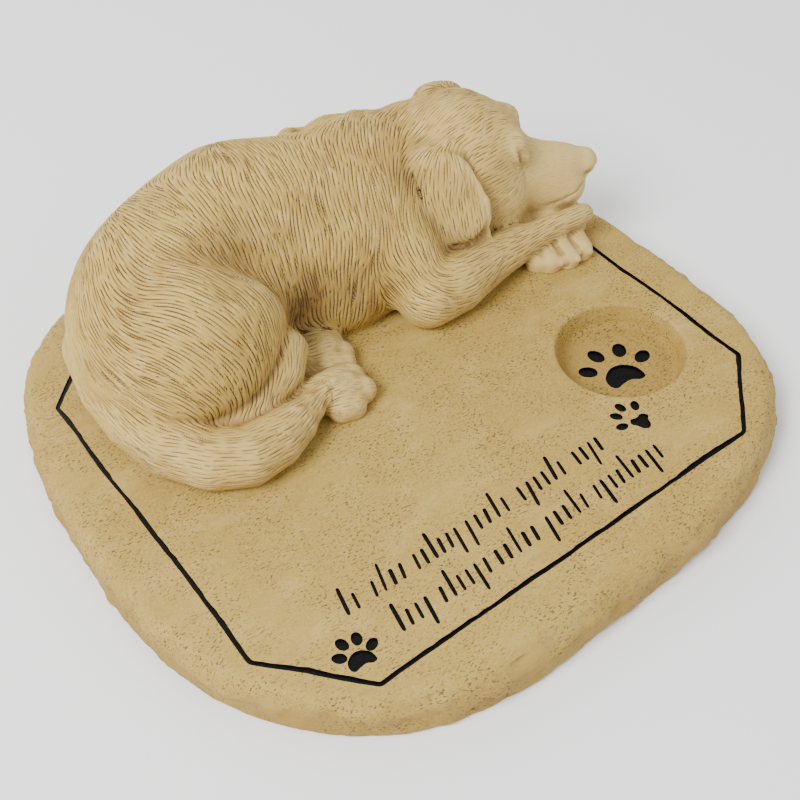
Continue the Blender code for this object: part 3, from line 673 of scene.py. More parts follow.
@dataclass
class Dog:
    """The dog, from the forms of its body to the carved coat, in pieces that meet skin to skin."""

    voxel: float = 0.84
    least_blend: float = 1.0
    foot: float = -0.8
    flare: float = 0.7
    groove_width: float = 0.34
    half_gap: float = 0.56
    parts: tuple[tuple[str, float, float], ...] = (
        ("dog_hindquarters", -200.0, -41.0), ("dog_loin", -41.0, 0.0), ("dog_shoulder", 0.0, 52.0),
        ("dog_head", 52.0, 200.0))

    def build(self) -> list[bpy.types.Object]:
        """Models the dog and carves its coat.

        Returns:
            The finished pieces, in metres, without a finish.
        """
        forms = torso() + hind_leg() + tail() + forelegs() + head() + ears()
        skin = Field(forms, cut_lines(), self.least_blend)
        rough = self._skinned(forms)
        self._settle(rough.data, skin)
        comb = Comb()
        points, normals = points_of(rough.data), normals_of(rough.data)
        evener = Evener(edges_of(rough.data), len(points))
        lay, style = self._coat(skin, points, normals, evener)
        hollow = self._hollows(points, normals, evener)
        comb.lay_cuts(points, normals, lay, style)
        log.info("coat of %d cuts", len(comb.cuts))
        self._store(rough.data, "hollow", hollow)
        self._store(rough.data, "smooth", 1.0 - style[:, 2] / Hair.COARSE.value[2])
        finer = rough.modifiers.new("Finer", "SUBSURF")
        finer.levels = finer.render_levels = 1
        settle_modifiers(rough)
        self._carve(rough.data, comb)
        pieces = self._parted(rough)
        bpy.data.objects.remove(rough)
        return pieces

    def _skinned(self, forms: list[Form]) -> bpy.types.Object:
        """One closed skin of even squares over all the forms."""
        whole = bmesh.new()
        mesh = bpy.data.meshes.new("dog")
        for form in forms:
            bm = bmesh.new()
            form.add_to(bm)
            bm.to_mesh(mesh)
            bm.free()
            whole.from_mesh(mesh)
        whole.to_mesh(mesh)
        whole.free()
        obj = new_object("dog_rough", mesh)
        skin = obj.modifiers.new("Skin", "REMESH")
        skin.mode = "VOXEL"
        skin.voxel_size = self.voxel
        settle_modifiers(obj)
        return obj

    def _settle(self, mesh: bpy.types.Mesh, skin: Field) -> None:
        """Moves the skin's points onto the joined forms and trims them at the foot."""
        bm = bmesh.new()
        bm.from_mesh(mesh)
        below = [v for v in bm.verts if v.co.z < self.foot - 2.0]
        bmesh.ops.delete(bm, geom=below, context="VERTS")
        keep_largest(bm)
        for turn in range(3):
            if turn:
                inner = [v for v in bm.verts if not v.is_boundary]
                bmesh.ops.smooth_vert(bm, verts=inner, factor=0.5, use_axis_x=True, use_axis_y=True, use_axis_z=True)
            points = np.array([v.co for v in bm.verts])
            for _ in range(2):
                here = skin.distance(points)
                slope = skin.slope(points, here)
                steep = np.maximum((slope * slope).sum(axis=1), 0.1)
                points -= np.clip(slope * (here / steep)[:, None], -1.0, 1.0)
            for vert, place in zip(bm.verts, points):
                vert.co = place
        bm.normal_update()
        for vert in bm.verts:
            rise = max(0.0, 1.0 - max(vert.co.z, 0.0) / 2.0)
            level = Vector((vert.normal.x, vert.normal.y, 0.0))
            vert.co += level * self.flare * rise * rise
        bm.to_mesh(mesh)
        bm.free()

    def _coat(self, skin: Field, points: np.ndarray, normals: np.ndarray,
              evener: Evener) -> tuple[np.ndarray, np.ndarray]:
        """The lay of the hair along the skin at each point, and the style of its cuts.

        Args:
            skin: the joined forms.
            points: the skin's points.
            normals: the skin's normals.
            evener: averages between the skin's neighbours.

        Returns:
            The lay, each of length one, and gap, length and depth.
        """
        lay, style = skin.coat(points)
        for _ in range(4):
            lay -= normals * (lay * normals).sum(axis=1)[:, None]
            lay /= np.maximum(np.linalg.norm(lay, axis=1), 1e-6)[:, None]
            lay = evener.even(lay, 6)
        waves = np.array([noise.noise_vector(Vector(p) * 0.085) for p in points])
        lay += 0.33 * waves
        lay -= normals * (lay * normals).sum(axis=1)[:, None]
        lay /= np.maximum(np.linalg.norm(lay, axis=1), 1e-6)[:, None]
        return lay, evener.even(style, 4)

    def _hollows(self, points: np.ndarray, normals: np.ndarray, evener: Evener) -> np.ndarray:
        """How deep each point lies in a hollow, from 0 to 1, and below 0 on a crest, plus a share that grows towards
        the slab.
        """
        narrow = ((evener.even(points, 14) - points) * normals).sum(axis=1)
        wide = ((evener.even(points, 90) - points) * normals).sum(axis=1)
        hollow = np.clip(narrow / 0.35, -1.0, 1.0) * 0.5 + np.clip(wide / 1.6, -1.0, 1.0) * 0.5
        # points low on the dog count for more, so they take more brown
        low = np.clip(1.0 - points[:, 2] / 5.0, 0.0, 1.0)
        return hollow + 0.35 * low

    def _store(self, mesh: bpy.types.Mesh, name: str, values: np.ndarray) -> None:
        """Keeps a value for each point on the mesh, for the finish to read."""
        layer = mesh.attributes.new(name, "FLOAT", "POINT")
        layer.data.foreach_set("value", values.astype(np.float32))

    def _carve(self, mesh: bpy.types.Mesh, comb: Comb) -> None:
        """Sinks the cuts into the fine skin and keeps how far each point lies in one."""
        places, headings, depths = comb.marks()
        tree = kdtree.KDTree(len(places))
        for number, place in enumerate(places):
            tree.insert(place, number)
        tree.balance()
        points, normals = points_of(mesh), normals_of(mesh)
        near = np.array([tree.find(point)[1:] for point in points])
        mark = near[:, 0].astype(int)
        depth = depths[mark]
        inside = np.exp(-((near[:, 1] / self.groove_width) ** 2))
        across = ((points - places[mark]) * np.cross(normals, headings[mark])).sum(axis=1)
        phase = np.pi * np.clip(across / self.half_gap, -1.0, 1.0)
        self._store(mesh, "across_cos", np.cos(phase))
        self._store(mesh, "across_sin", np.sin(phase))
        lumps = np.array([noise.noise(Vector(p) * 0.21) for p in points])
        raise_by = 0.14 * lumps - 0.14 - depth * inside
        move_points(mesh, points + normals * raise_by[:, None])
        beside = np.clip(2.0 - near[:, 1] / self.half_gap, 0.0, 1.0)
        self._store(mesh, "groove", np.clip(depth / 0.45, 0.0, 1.2) * beside)
        # How dark the coat lies in the patches: partly washed-in brown, partly painted shade
        wash = np.zeros(len(points))
        for patch in WASH_AND_SHADE_PATCHES:
            off = np.linalg.norm(points - np.array(patch.place), axis=1)
            wash = np.maximum(wash, patch.strength * np.exp(-((off / patch.reach) ** 2)))
        self._store(mesh, "wash", wash)
        layer = mesh.attributes.new("smooth_normal", "FLOAT_VECTOR", "POINT")
        layer.data.foreach_set("vector", normals_of(mesh).astype(np.float32).ravel())

    def _footed(self, whole: bpy.types.Object) -> bpy.types.Mesh:
        """The carved skin, cut off level just under the slab's top and closed there."""
        bm = bmesh.new()
        bm.from_mesh(whole.data)
        bmesh.ops.bisect_plane(bm, geom=bm.verts[:] + bm.edges[:] + bm.faces[:], dist=1e-5,
                               plane_co=(0, 0, self.foot), plane_no=(0, 0, -1), clear_outer=True)
        bmesh.ops.holes_fill(bm, edges=[e for e in bm.edges if e.is_boundary], sides=0)
        mesh = bpy.data.meshes.new("dog_footed")
        bm.to_mesh(mesh)
        bm.free()
        return mesh

    def _parted(self, whole: bpy.types.Object) -> list[bpy.types.Object]:
        """Parts the dog at its planes, closes each piece inside, and puts it on the slab in metres."""
        pieces = []
        footed = self._footed(whole)
        for name, low, high in self.parts:
            bm = bmesh.new()
            bm.from_mesh(footed)
            for x, way in ((low, -1.0), (high, 1.0)):
                if abs(x) < 150:
                    bmesh.ops.bisect_plane(bm, geom=bm.verts[:] + bm.edges[:] + bm.faces[:], dist=1e-5,
                                           plane_co=(x, 0, 0), plane_no=(way, 0, 0), clear_outer=True)
            rims = [e for e in bm.edges if e.is_boundary]
            bmesh.ops.holes_fill(bm, edges=rims, sides=0)
            mesh = bpy.data.meshes.new(name)
            bm.to_mesh(mesh)
            bm.free()
            mesh.transform(Matrix.Translation((0, 0, SLAB_TOP)))
            mesh.transform(Matrix.Scale(MM, 4))
            mesh.shade_smooth()
            flat = np.empty(len(mesh.vertices) * 3, np.float32)
            mesh.attributes["smooth_normal"].data.foreach_get("vector", flat)
            mesh.normals_split_custom_set_from_vertices(flat.reshape(-1, 3).tolist())
            mesh.attributes.remove(mesh.attributes["smooth_normal"])
            pieces.append(new_object(name, mesh))
            log.info("%s: %d faces", name, len(mesh.polygons))
        return pieces


@dataclass
class Slab:
    """The worn slab, with the candle seat, the border line, the paw prints and the rows of strokes."""

    width: float = 223.4
    depth: float = 216.2
    squareness: float = 3.1
    sides: int = 480
    rounding: float = 6.5
    foot_rounding: float = 2.5
    waves: tuple[Triple, ...] = (
        (1, 0.0055, 129), (2, 0.0027, -115), (3, 0.0033, -7), (4, 0.0049, -26),
        (5, 0.0067, -139), (6, 0.0044, 68), (7, 0.0032, -146), (9, 0.0031, 52))
    seat_place: Pair = (66.0, -38.0)
    seat_rim: float = 22.5
    seat_floor: float = 19.75
    seat_depth: float = 8.0
    border: tuple[float, float, float, float] = (-92.6, 94.4, -88.8, 82.0)
    corner: float = 24.5
    slips: tuple[Pair, Pair] = ((-0.8, 1.5), (-1.2, -1.0))
    line_width: float = 1.5
    cut_depth: float = 0.8
    rows: tuple[tuple[float, tuple[Pair, ...]], ...] = (
        (-66.5, ((-65, -58), (-55, -42), (-40, -22), (-21, -4), (-1, 18), (21, 33))),
        (-80.0, ((-56, -43), (-41, -22), (-21, -4), (-2, 15), (17, 45))),
    )
    stroke_gap: float = 3.1
    stroke_height: float = 5.6
    tall_stroke: float = 9.6
    stroke_width: float = 1.2
    stroke_slant: float = math.radians(14)

    def edge_radius(self, angle: float) -> float:
        """The slab's radius at an angle: a squarish round with slow waves."""
        across = abs(math.cos(angle) / (self.width / 2)) ** self.squareness
        along = abs(math.sin(angle) / (self.depth / 2)) ** self.squareness
        ripple = sum(share * math.cos(count * angle - math.radians(phase)) for count, share, phase in self.waves)
        return (across + along) ** (-1 / self.squareness) * (1 + ripple)

    def outline(self) -> np.ndarray:
        """The slab's outline from above, its box's middle at the origin."""
        angles = [math.tau * i / self.sides for i in range(self.sides)]
        points = np.array([(self.edge_radius(a) * math.cos(a), self.edge_radius(a) * math.sin(a)) for a in angles])
        return points - (points.min(axis=0) + points.max(axis=0)) / 2

    def build(self, paint: bpy.types.Material, stone: bpy.types.Material) -> bpy.types.Object:
        """Models the slab and cuts its seat, line, prints and strokes.

        Args:
            paint: the finish of the cuts.
            stone: the finish of all the rest.

        Returns:
            The finished slab, in metres.
        """
        bm = bmesh.new()
        prism(bm, self.outline(), 0.0, SLAB_TOP)
        for height, rounding, steps in ((SLAB_TOP, self.rounding, 8), (0.0, self.foot_rounding, 4)):
            rim = [e for e in bm.edges if all(abs(v.co.z - height) < 1e-4 for v in e.verts)]
            bmesh.ops.bevel(bm, geom=rim, offset=rounding, segments=steps, profile=0.5, affect="EDGES", material=-1)
        self._ring_top(bm)
        sides = [e for e in bm.edges if self._upright(e)]
        bmesh.ops.subdivide_edges(bm, edges=sides, cuts=3, use_grid_fill=True)
        bmesh.ops.triangulate(bm, faces=[f for f in bm.faces if len(f.verts) > 4])
        bmesh.ops.recalc_face_normals(bm, faces=bm.faces)
        self._weather(bm)
        mesh = bpy.data.meshes.new("slab")
        bm.to_mesh(mesh)
        bm.free()
        slab = new_object("slab", mesh)
        mesh.materials.append(stone)
        mesh.materials.append(paint)
        cutters = [self._seat_cutter(stone), self._border_cutter(paint), self._print_cutter(paint)]
        for cutter in cutters:
            cut = slab.modifiers.new(cutter.name, "BOOLEAN")
            cut.operation = "DIFFERENCE"
            cut.solver = "EXACT"
            cut.material_mode = "TRANSFER"
            cut.object = cutter
        settle_modifiers(slab)
        for cutter in cutters:
            bpy.data.objects.remove(cutter)
        slab.data.transform(Matrix.Scale(MM, 4))
        slab.data.shade_smooth()
        slab.data.set_sharp_from_angle(angle=math.radians(38))
        return slab

    def _upright(self, edge: bmesh.types.BMEdge) -> bool:
        """Whether an edge runs up the slab's straight side."""
        a, b = (v.co for v in edge.verts)
        return abs(a.z - b.z) > 3.0 and (a.xy - b.xy).length < 1e-3

    def _ring_top(self, bm: bmesh.types.BMesh, rings: int = 36) -> None:
        """Draws the top face inwards in even rings, so that it can roll a little."""
        top = max(bm.faces, key=lambda f: (len(f.verts) > 8) * (f.calc_center_median().z + 1.0))
        for ring in range(rings, 1, -1):
            grown = bmesh.ops.extrude_face_region(bm, geom=[top])["geom"]
            bmesh.ops.delete(bm, geom=[top], context="FACES_ONLY")
            top = next(g for g in grown if isinstance(g, bmesh.types.BMFace) and len(g.verts) > 8)
            share = (ring - 1) / ring
            bmesh.ops.scale(bm, vec=(share, share, 1.0), verts=list(top.verts))
        bmesh.ops.poke(bm, faces=[top])

    def _weather(self, bm: bmesh.types.BMesh) -> None:
        """Makes the top roll a little, as modelled by hand, and leaves the sides like broken rock."""
        for vert in bm.verts:
            x, y, z = vert.co
            if z < 0.01:
                continue
            place = Vector((x, y, 1.7 * z))
            side = min(1.0, max(0.0, (SLAB_TOP + 0.1 - z) / 2.5)) * min(1.0, z / 2.0)
            roll = noise.noise(Vector((x * 0.05, y * 0.05, 0.0))) * 0.16 + noise.noise(place * 0.21) * 0.07
            broken = (1.3 * noise.noise(place * 0.075) + 0.75 * noise.noise(place * 0.17)
                      + 0.6 * noise.noise(place * 0.36) + 0.3 * noise.noise(place * 0.62))
            chip = max(0.0, noise.noise(place * 0.11 + Vector((9, 4, 2))) - 0.25) * 3.0
            vert.co.z += (roll - 0.16) * min(1.0, z / SLAB_TOP)
            vert.co -= Vector((x, y, 0.0)).normalized() * max(0.05, 0.9 + broken + chip) * side

    def _seat_cutter(self, stone: bpy.types.Material) -> bpy.types.Object:
        """The candle seat, turned: a flat floor, a cove at the wall's foot, and a lip worn wide."""
        cove, lip = 2.5, 1.6
        profile = [(0.0, -self.seat_depth), (self.seat_floor - cove, -self.seat_depth)]
        for step in range(1, 7):
            angle = math.radians(15 * step)
            profile.append((self.seat_floor - cove + cove * math.sin(angle),
                            -self.seat_depth + cove * (1 - math.cos(angle))))
        for step in range(7):
            angle = math.radians(8 + 12 * step)
            profile.append((self.seat_rim - lip * math.cos(angle) + 0.2, -lip + lip * math.sin(angle)))
        profile += [(self.seat_rim + 1.4, 0.9), (self.seat_rim + 1.4, self.seat_depth), (0.0, self.seat_depth)]
        bm = bmesh.new()
        verts = [bm.verts.new((*self.seat_place, SLAB_TOP)) for _ in profile]
        for vert, (x, z) in zip(verts, profile):
            vert.co += Vector((x, 0, z))
        edges = [bm.edges.new(pair) for pair in zip(verts, verts[1:])]
        bmesh.ops.spin(bm, geom=verts + edges, cent=(*self.seat_place, 0), axis=(0, 0, 1), angle=math.tau,
                       steps=96, use_merge=True)
        bmesh.ops.remove_doubles(bm, verts=bm.verts, dist=1e-4)
        return finished_cutter("seat_cutter", bm, stone)

    def _border_cutter(self, paint: bpy.types.Material) -> bpy.types.Object:
        """The border line, an octagon drawn by hand: a thin ring, wider at some places than at others."""
        left, right, front, back = self.border
        corners: list[Vector] = []
        for x, away_x, y, away_y in ((right, -1, front, 1), (right, -1, back, -1), (left, 1, back, -1),
                                     (left, 1, front, 1)):
            pair = [Vector((x + away_x * self.corner, y)), Vector((x, y + away_y * self.corner))]
            corners += pair if away_x * away_y < 0 else pair[::-1]
        corners[-2:] = [corner + Vector(slip) for corner, slip in zip(corners[-2:], self.slips)]
        line = rounded_loop(corners, 1.2, 2.5)
        bm = bmesh.new()
        ring = bmesh.ops.create_circle(bm, cap_ends=True, segments=len(line), radius=1.0)["verts"]
        for vert, point in zip(ring, line):
            vert.co = (point.x, point.y, SLAB_TOP - self.cut_depth)
        inner = bm.faces[:]
        band = bmesh.ops.inset_region(bm, faces=inner, thickness=self.line_width, use_boundary=True,
                                      use_even_offset=True)["faces"]
        bmesh.ops.delete(bm, geom=inner, context="FACES_ONLY")
        outer = set(ring)
        for vert in bm.verts:
            x, y = vert.co.xy
            shift = noise.noise_vector(Vector((x, y, 7.0)) * 0.05) * 0.7 + noise.noise_vector(Vector((x, y, 3.0)) * 0.3) * 0.15
            vert.co += Vector((shift.x, shift.y, 0.0))
            if vert not in outer:
                swell = 0.75 * noise.noise(Vector((x, y, 1.0)) * 0.045) + 0.3 * noise.noise(Vector((x, y, 5.0)) * 0.35)
                swell += 0.7 * math.exp(-(((x - right) / 20) ** 2) - (((y - back + 30) / 28) ** 2))
                vert.co -= Vector((x, y, 0.0)).normalized() * max(-0.6, swell)
        raised = bmesh.ops.extrude_face_region(bm, geom=band)["geom"]
        lifted = [v for v in raised if isinstance(v, bmesh.types.BMVert)]
        bmesh.ops.translate(bm, vec=(0, 0, 3 * self.cut_depth), verts=lifted)
        return finished_cutter("border_cutter", bm, paint)

    def _print_cutter(self, paint: bpy.types.Material) -> bpy.types.Object:
        """The paw prints and the strokes, as shallow prisms that don't meet."""
        bm = bmesh.new()
        floor = SLAB_TOP - self.seat_depth
        for level, outlines in (
            (floor, paw_print(KIDNEY, (64.4, -42.9), 1.02, -36.7,
                              ((-8.4, 8.9), (-1.4, 12.7), (6.6, 9.9), (10.6, 3.0)), (6.4, 4.7))),
            (SLAB_TOP, paw_print(TREFOIL, (49.0, -65.2), 0.48, 0.0,
                                 ((-6.3, 2.0), (-4.8, 6.3), (-1.2, 8.2), (2.9, 6.0)), (4.1, 2.8))),
            (SLAB_TOP, paw_print(KIDNEY, (-68.6, -80.2), 0.62, -32.0,
                                 ((-4.6, 4.2), (-1.6, 7.3), (2.6, 6.3), (4.9, 2.4)), (4.4, 3.2))),
        ):
            for outline in outlines:
                prism(bm, outline, level - self.cut_depth, level + 1.5)
        for outline in self._strokes():
            prism(bm, outline, SLAB_TOP - self.cut_depth, SLAB_TOP + 1.5)
        return finished_cutter("print_cutter", bm, paint)

    def _strokes(self) -> list[np.ndarray]:
        """Short slanted strokes in groups along their rows, some taller and some hanging lower."""
        chance = random.Random(5)
        outlines = []
        for base, groups in self.rows:
            for number, (start, end) in enumerate(groups):
                count = max(2, round((end - start) / self.stroke_gap))
                for i in range(count):
                    tall = (i * 7 + number * 5) % 6
                    height = self.tall_stroke if tall == 0 else self.stroke_height
                    low = base - (self.tall_stroke - self.stroke_height if tall == 3 else 0.0)
                    x = start + (i + 0.5) * (end - start) / count
                    middle = (low + base + height) / 2
                    lean = (middle - base) * math.tan(self.stroke_slant)
                    length = (base + height - low) / math.cos(self.stroke_slant)
                    turn = math.pi / 2 - self.stroke_slant + chance.uniform(-0.06, 0.06)
                    outlines.append(brush_mark((x + lean, middle), self.stroke_width, length, turn, chance))
        return outlines


def prism(bm: bmesh.types.BMesh, outline: Iterable[Sequence[float]], bottom: float, top: float) -> None:
    """Adds a closed prism over an outline.

    Args:
        bm: the mesh that it is added to.
        outline: x and y of each corner, anticlockwise.
        bottom: height of its foot.
        top: height of its top.
    """
    outline = list(outline)
    ring = bmesh.ops.create_circle(bm, cap_ends=True, segments=len(outline), radius=1.0)["verts"]
    for vert, (x, y) in zip(ring, outline):
        vert.co = (x, y, bottom)
    face = next(f for f in ring[0].link_faces)
    raised = bmesh.ops.extrude_face_region(bm, geom=[face])["geom"]
    lifted = [v for v in raised if isinstance(v, bmesh.types.BMVert)]
    bmesh.ops.translate(bm, vec=(0, 0, top - bottom), verts=lifted)


def finished_cutter(name: str, bm: bmesh.types.BMesh, finish: bpy.types.Material) -> bpy.types.Object:
    """A cutter from a mesh being built, which leaves its finish on the faces that it cuts."""
    bmesh.ops.recalc_face_normals(bm, faces=bm.faces)
    mesh = bpy.data.meshes.new(name)
    bm.to_mesh(mesh)
    bm.free()
    mesh.materials.append(finish)
    cutter = new_object(name, mesh)
    cutter.hide_render = True
    cutter.display_type = "WIRE"
    return cutter


def rounded_loop(corners: Sequence[Vector], radius: float, step: float) -> list[Vector]:
    """A closed line through corners, each rounded, with a point at every step.

    Args:
        corners: the corners in order.
        radius: how far from a corner its rounding starts.
        step: distance between points on the straight stretches.

    Returns:
        The points of the line.
    """
    line: list[Vector] = []
    count = len(corners)
    for i, corner in enumerate(corners):
        before, after = corners[i - 1], corners[(i + 1) % count]
        start = corner + (before - corner).normalized() * radius
        end = corner + (after - corner).normalized() * radius
        for k in range(5):
            t = k / 4
            line.append(start * (1 - t) ** 2 + corner * 2 * t * (1 - t) + end * t**2)
        following = after + (corner - after).normalized() * radius
        pieces = max(1, round((following - end).length / step))
        line += [end.lerp(following, k / pieces) for k in range(1, pieces)]
    return line


def turned(points: Iterable[Pair], centre: Pair, turn: float) -> np.ndarray:
    """Points turned about the origin by an angle, then moved to a centre."""
    c, s = math.cos(turn), math.sin(turn)
    return np.array([(centre[0] + c * x - s * y, centre[1] + s * x + c * y) for x, y in points])


def brush_mark(centre: Pair, width: float, length: float, turn: float, chance: random.Random) -> np.ndarray:
    """One short painted stroke: round ends, and sides that swell a little."""
    swell = chance.uniform(0.9, 1.25)
    points = []
    for i in range(20):
        angle = math.tau * i / 20
        x, y = math.cos(angle), math.sin(angle)
        waist = 1.0 + 0.12 * math.cos(2.0 * angle + chance.uniform(-0.5, 0.5))
        along = math.copysign(abs(x) ** 0.45, x) * length / 2
        across = math.copysign(abs(y) ** 0.75, y) * width / 2 * swell * waist
        points.append((along, across))
    return turned(points, centre, turn)


def blob(centre: Pair, width: float, length: float, turn: float, sides: int = 24) -> np.ndarray:
    """An oval with a slightly uneven edge, its length along the direction turn."""
    points = []
    for i in range(sides):
        angle = math.tau * i / sides
        uneven = 1.0 + 0.06 * noise.noise(Vector((centre[0] + math.cos(angle), centre[1] + math.sin(angle), 0.3)))
        points.append((length / 2 * math.cos(angle) * uneven, width / 2 * math.sin(angle) * uneven))
    return turned(points, centre, turn)


def paw_print(pad: Sequence[Pair], place: Pair, scale: float, turn: float, toes: Sequence[Pair],
              toe: Pair) -> list[np.ndarray]:
    """A paw print: a pad and four toes, each of which points away from the pad.

    Args:
        pad: corners of the pad's outline, in millimetres, which is drawn smoothly through them.
        place: the pad's middle.
        scale: how large the pad is drawn.
        turn: how far the pad is turned, in degrees.
        toes: each toe's middle, from the pad's.
        toe: a toe's length and width.

    Returns:
        The outlines of the pad and the toes.
    """
    smooth = []
    corners = np.array(pad) * scale
    for i in range(len(corners)):
        a, b, c, d = (corners[(i + k - 1) % len(corners)] for k in range(4))
        for t in (0.0, 0.25, 0.5, 0.75):
            smooth.append(b + 0.5 * t * (c - a + t * (2 * a - 5 * b + 4 * c - d + t * (3 * (b - c) + d - a))))
    outlines = [turned(smooth, place, math.radians(turn))]
    for x, y in toes:
        outlines.append(blob((place[0] + x, place[1] + y), toe[1], toe[0], math.atan2(y, x)))
    return outlines


class Value:
    """A socket that takes part in sums, each of which adds a Math node."""

    def __init__(self, nodes: "Nodes", socket: bpy.types.NodeSocket) -> None:
        """Keeps the socket and the tree that it is in."""
        self.nodes = nodes
        self.socket = socket

    def _sum(self, operation: str, *values: "Value | float") -> "Value":
        """The outcome of a Math node."""
        node = self.nodes.add("ShaderNodeMath", {"operation": operation}, *values)
        return Value(self.nodes, node.outputs[0])

    def __add__(self, other: "Value | float") -> "Value":
        """This plus another."""
        return self._sum("ADD", self, other)

    def __radd__(self, other: float) -> "Value":
        """A number plus this."""
        return self._sum("ADD", other, self)

    def __sub__(self, other: "Value | float") -> "Value":
        """This less another."""
        return self._sum("SUBTRACT", self, other)

    def __rsub__(self, other: float) -> "Value":
        """A number less this."""
        return self._sum("SUBTRACT", other, self)

    def __mul__(self, other: "Value | float") -> "Value":
        """This times another."""
        return self._sum("MULTIPLY", self, other)

    def __rmul__(self, other: float) -> "Value":
        """A number times this."""
        return self._sum("MULTIPLY", other, self)

    def most(self, other: "Value | float") -> "Value":
        """The larger of this and another."""
        return self._sum("MAXIMUM", self, other)

    def least(self, other: "Value | float") -> "Value":
        """The smaller of this and another."""
        return self._sum("MINIMUM", self, other)

    def angle(self, other: "Value") -> "Value":
        """The angle, without its sign, whose sine this is and whose cosine is the other."""
        return self._sum("ABSOLUTE", self._sum("ARCTAN2", self, other))

    def kept(self) -> "Value":
        """This, kept between 0 and 1."""
        return self.most(0.0).least(1.0)

    def between(self, low: float, high: float) -> "Value":
        """0 where this is at low, 1 at high, and a smooth rise from one to the other."""
        node = self.nodes.add("ShaderNodeMapRange", {"interpolation_type": "SMOOTHSTEP"}, self, low, high, 0.0, 1.0)
        return Value(self.nodes, node.outputs[0])


class Nodes:
    """The node tree of one material."""

    def __init__(self, name: str) -> None:
        """Starts a material with a Principled shader."""
        self.material = bpy.data.materials.new(name)
        self.material.use_nodes = True
        self.tree = self.material.node_tree
        self.shader = self.tree.nodes["Principled BSDF"]

    def add(self, kind: str, settings: dict[str, object], *inputs: object, **named: object) -> bpy.types.Node:
        """Adds a node.

        Args:
            kind: the node's type.
            settings: its settings, with a ramp's stops under the name stops.
            inputs: values or links of its sockets, in order; None leaves one as it is.
            named: values or links of its sockets by name, with _ for a space.

        Returns:
            The node.
        """
        node = self.tree.nodes.new(kind)
        for key, value in settings.items():
            if key == "stops":
                ramp = node.color_ramp
                while len(ramp.elements) < len(value):
                    ramp.elements.new(0.5)
                for stop, (place, colour) in zip(ramp.elements, value):
                    stop.position, stop.color = place, (*colour, 1.0)
            else:
                setattr(node, key, value)
        pairs = [(node.inputs[i], value) for i, value in enumerate(inputs)]
        pairs += [(node.inputs[key.replace("_", " ")], value) for key, value in named.items()]
        for socket, value in pairs:
            self.plug(socket, value)
        return node

    def plug(self, socket: bpy.types.NodeSocket, value: object) -> None:
        """Links a value to a socket, or sets it there."""
        if isinstance(value, Value):
            self.tree.links.new(value.socket, socket)
        elif isinstance(value, bpy.types.NodeSocket):
            self.tree.links.new(value, socket)
        elif value is not None:
            socket.default_value = value

    def place(self, scale: Triple = (1.0, 1.0, 1.0), turn: float = 0.0) -> bpy.types.NodeSocket:
        """The place on the object, stretched by scale after a turn about Z."""
        where = self.add("ShaderNodeTexCoord", {}).outputs["Object"]
        if scale == (1.0, 1.0, 1.0) and turn == 0.0:
            return where
        return self.add("ShaderNodeMapping", {}, Vector=where, Scale=scale, Rotation=(0, 0, turn)).outputs[0]

    def height(self) -> Value:
        """The height over the underside, in metres."""
        split = self.add("ShaderNodeSeparateXYZ", {}, self.place())
        return Value(self, split.outputs["Z"])

    def grain(self, size: float, detail: float = 3.0, rough: float = 0.55, scale: Triple = (1.0, 1.0, 1.0),
              turn: float = 0.0) -> Value:
        """Noise about 0.5 whose lumps are about that many millimetres wide."""
        node = self.add("ShaderNodeTexNoise", {}, Vector=self.place(scale, turn), Scale=1000.0 / size, Detail=detail,
                        Roughness=rough)
        return Value(self, node.outputs[0])

    def stored(self, name: str) -> Value:
        """A value kept on the mesh."""
        node = self.add("ShaderNodeAttribute", {"attribute_name": name, "attribute_type": "GEOMETRY"})
        return Value(self, node.outputs["Fac"])

    def mix(self, share: "Value | float", first: object, second: object) -> bpy.types.NodeSocket:
        """A colour between two, by a share from 0 to 1."""
        colours = [(*c, 1.0) if isinstance(c, tuple) and len(c) == 3 else c for c in (first, second)]
        node = self.add("ShaderNodeMix", {"data_type": "RGBA"})
        self.plug(node.inputs[0], share)
        self.plug(node.inputs[6], colours[0])
        self.plug(node.inputs[7], colours[1])
        return node.outputs[2]

    def bump(self, height: Value, strength: float, distance: float) -> None:
        """Raises the shader's surface by a height."""
        node = self.add("ShaderNodeBump", {}, Strength=strength, Distance=distance, Height=height)
        self.plug(self.shader.inputs["Normal"], node.outputs[0])


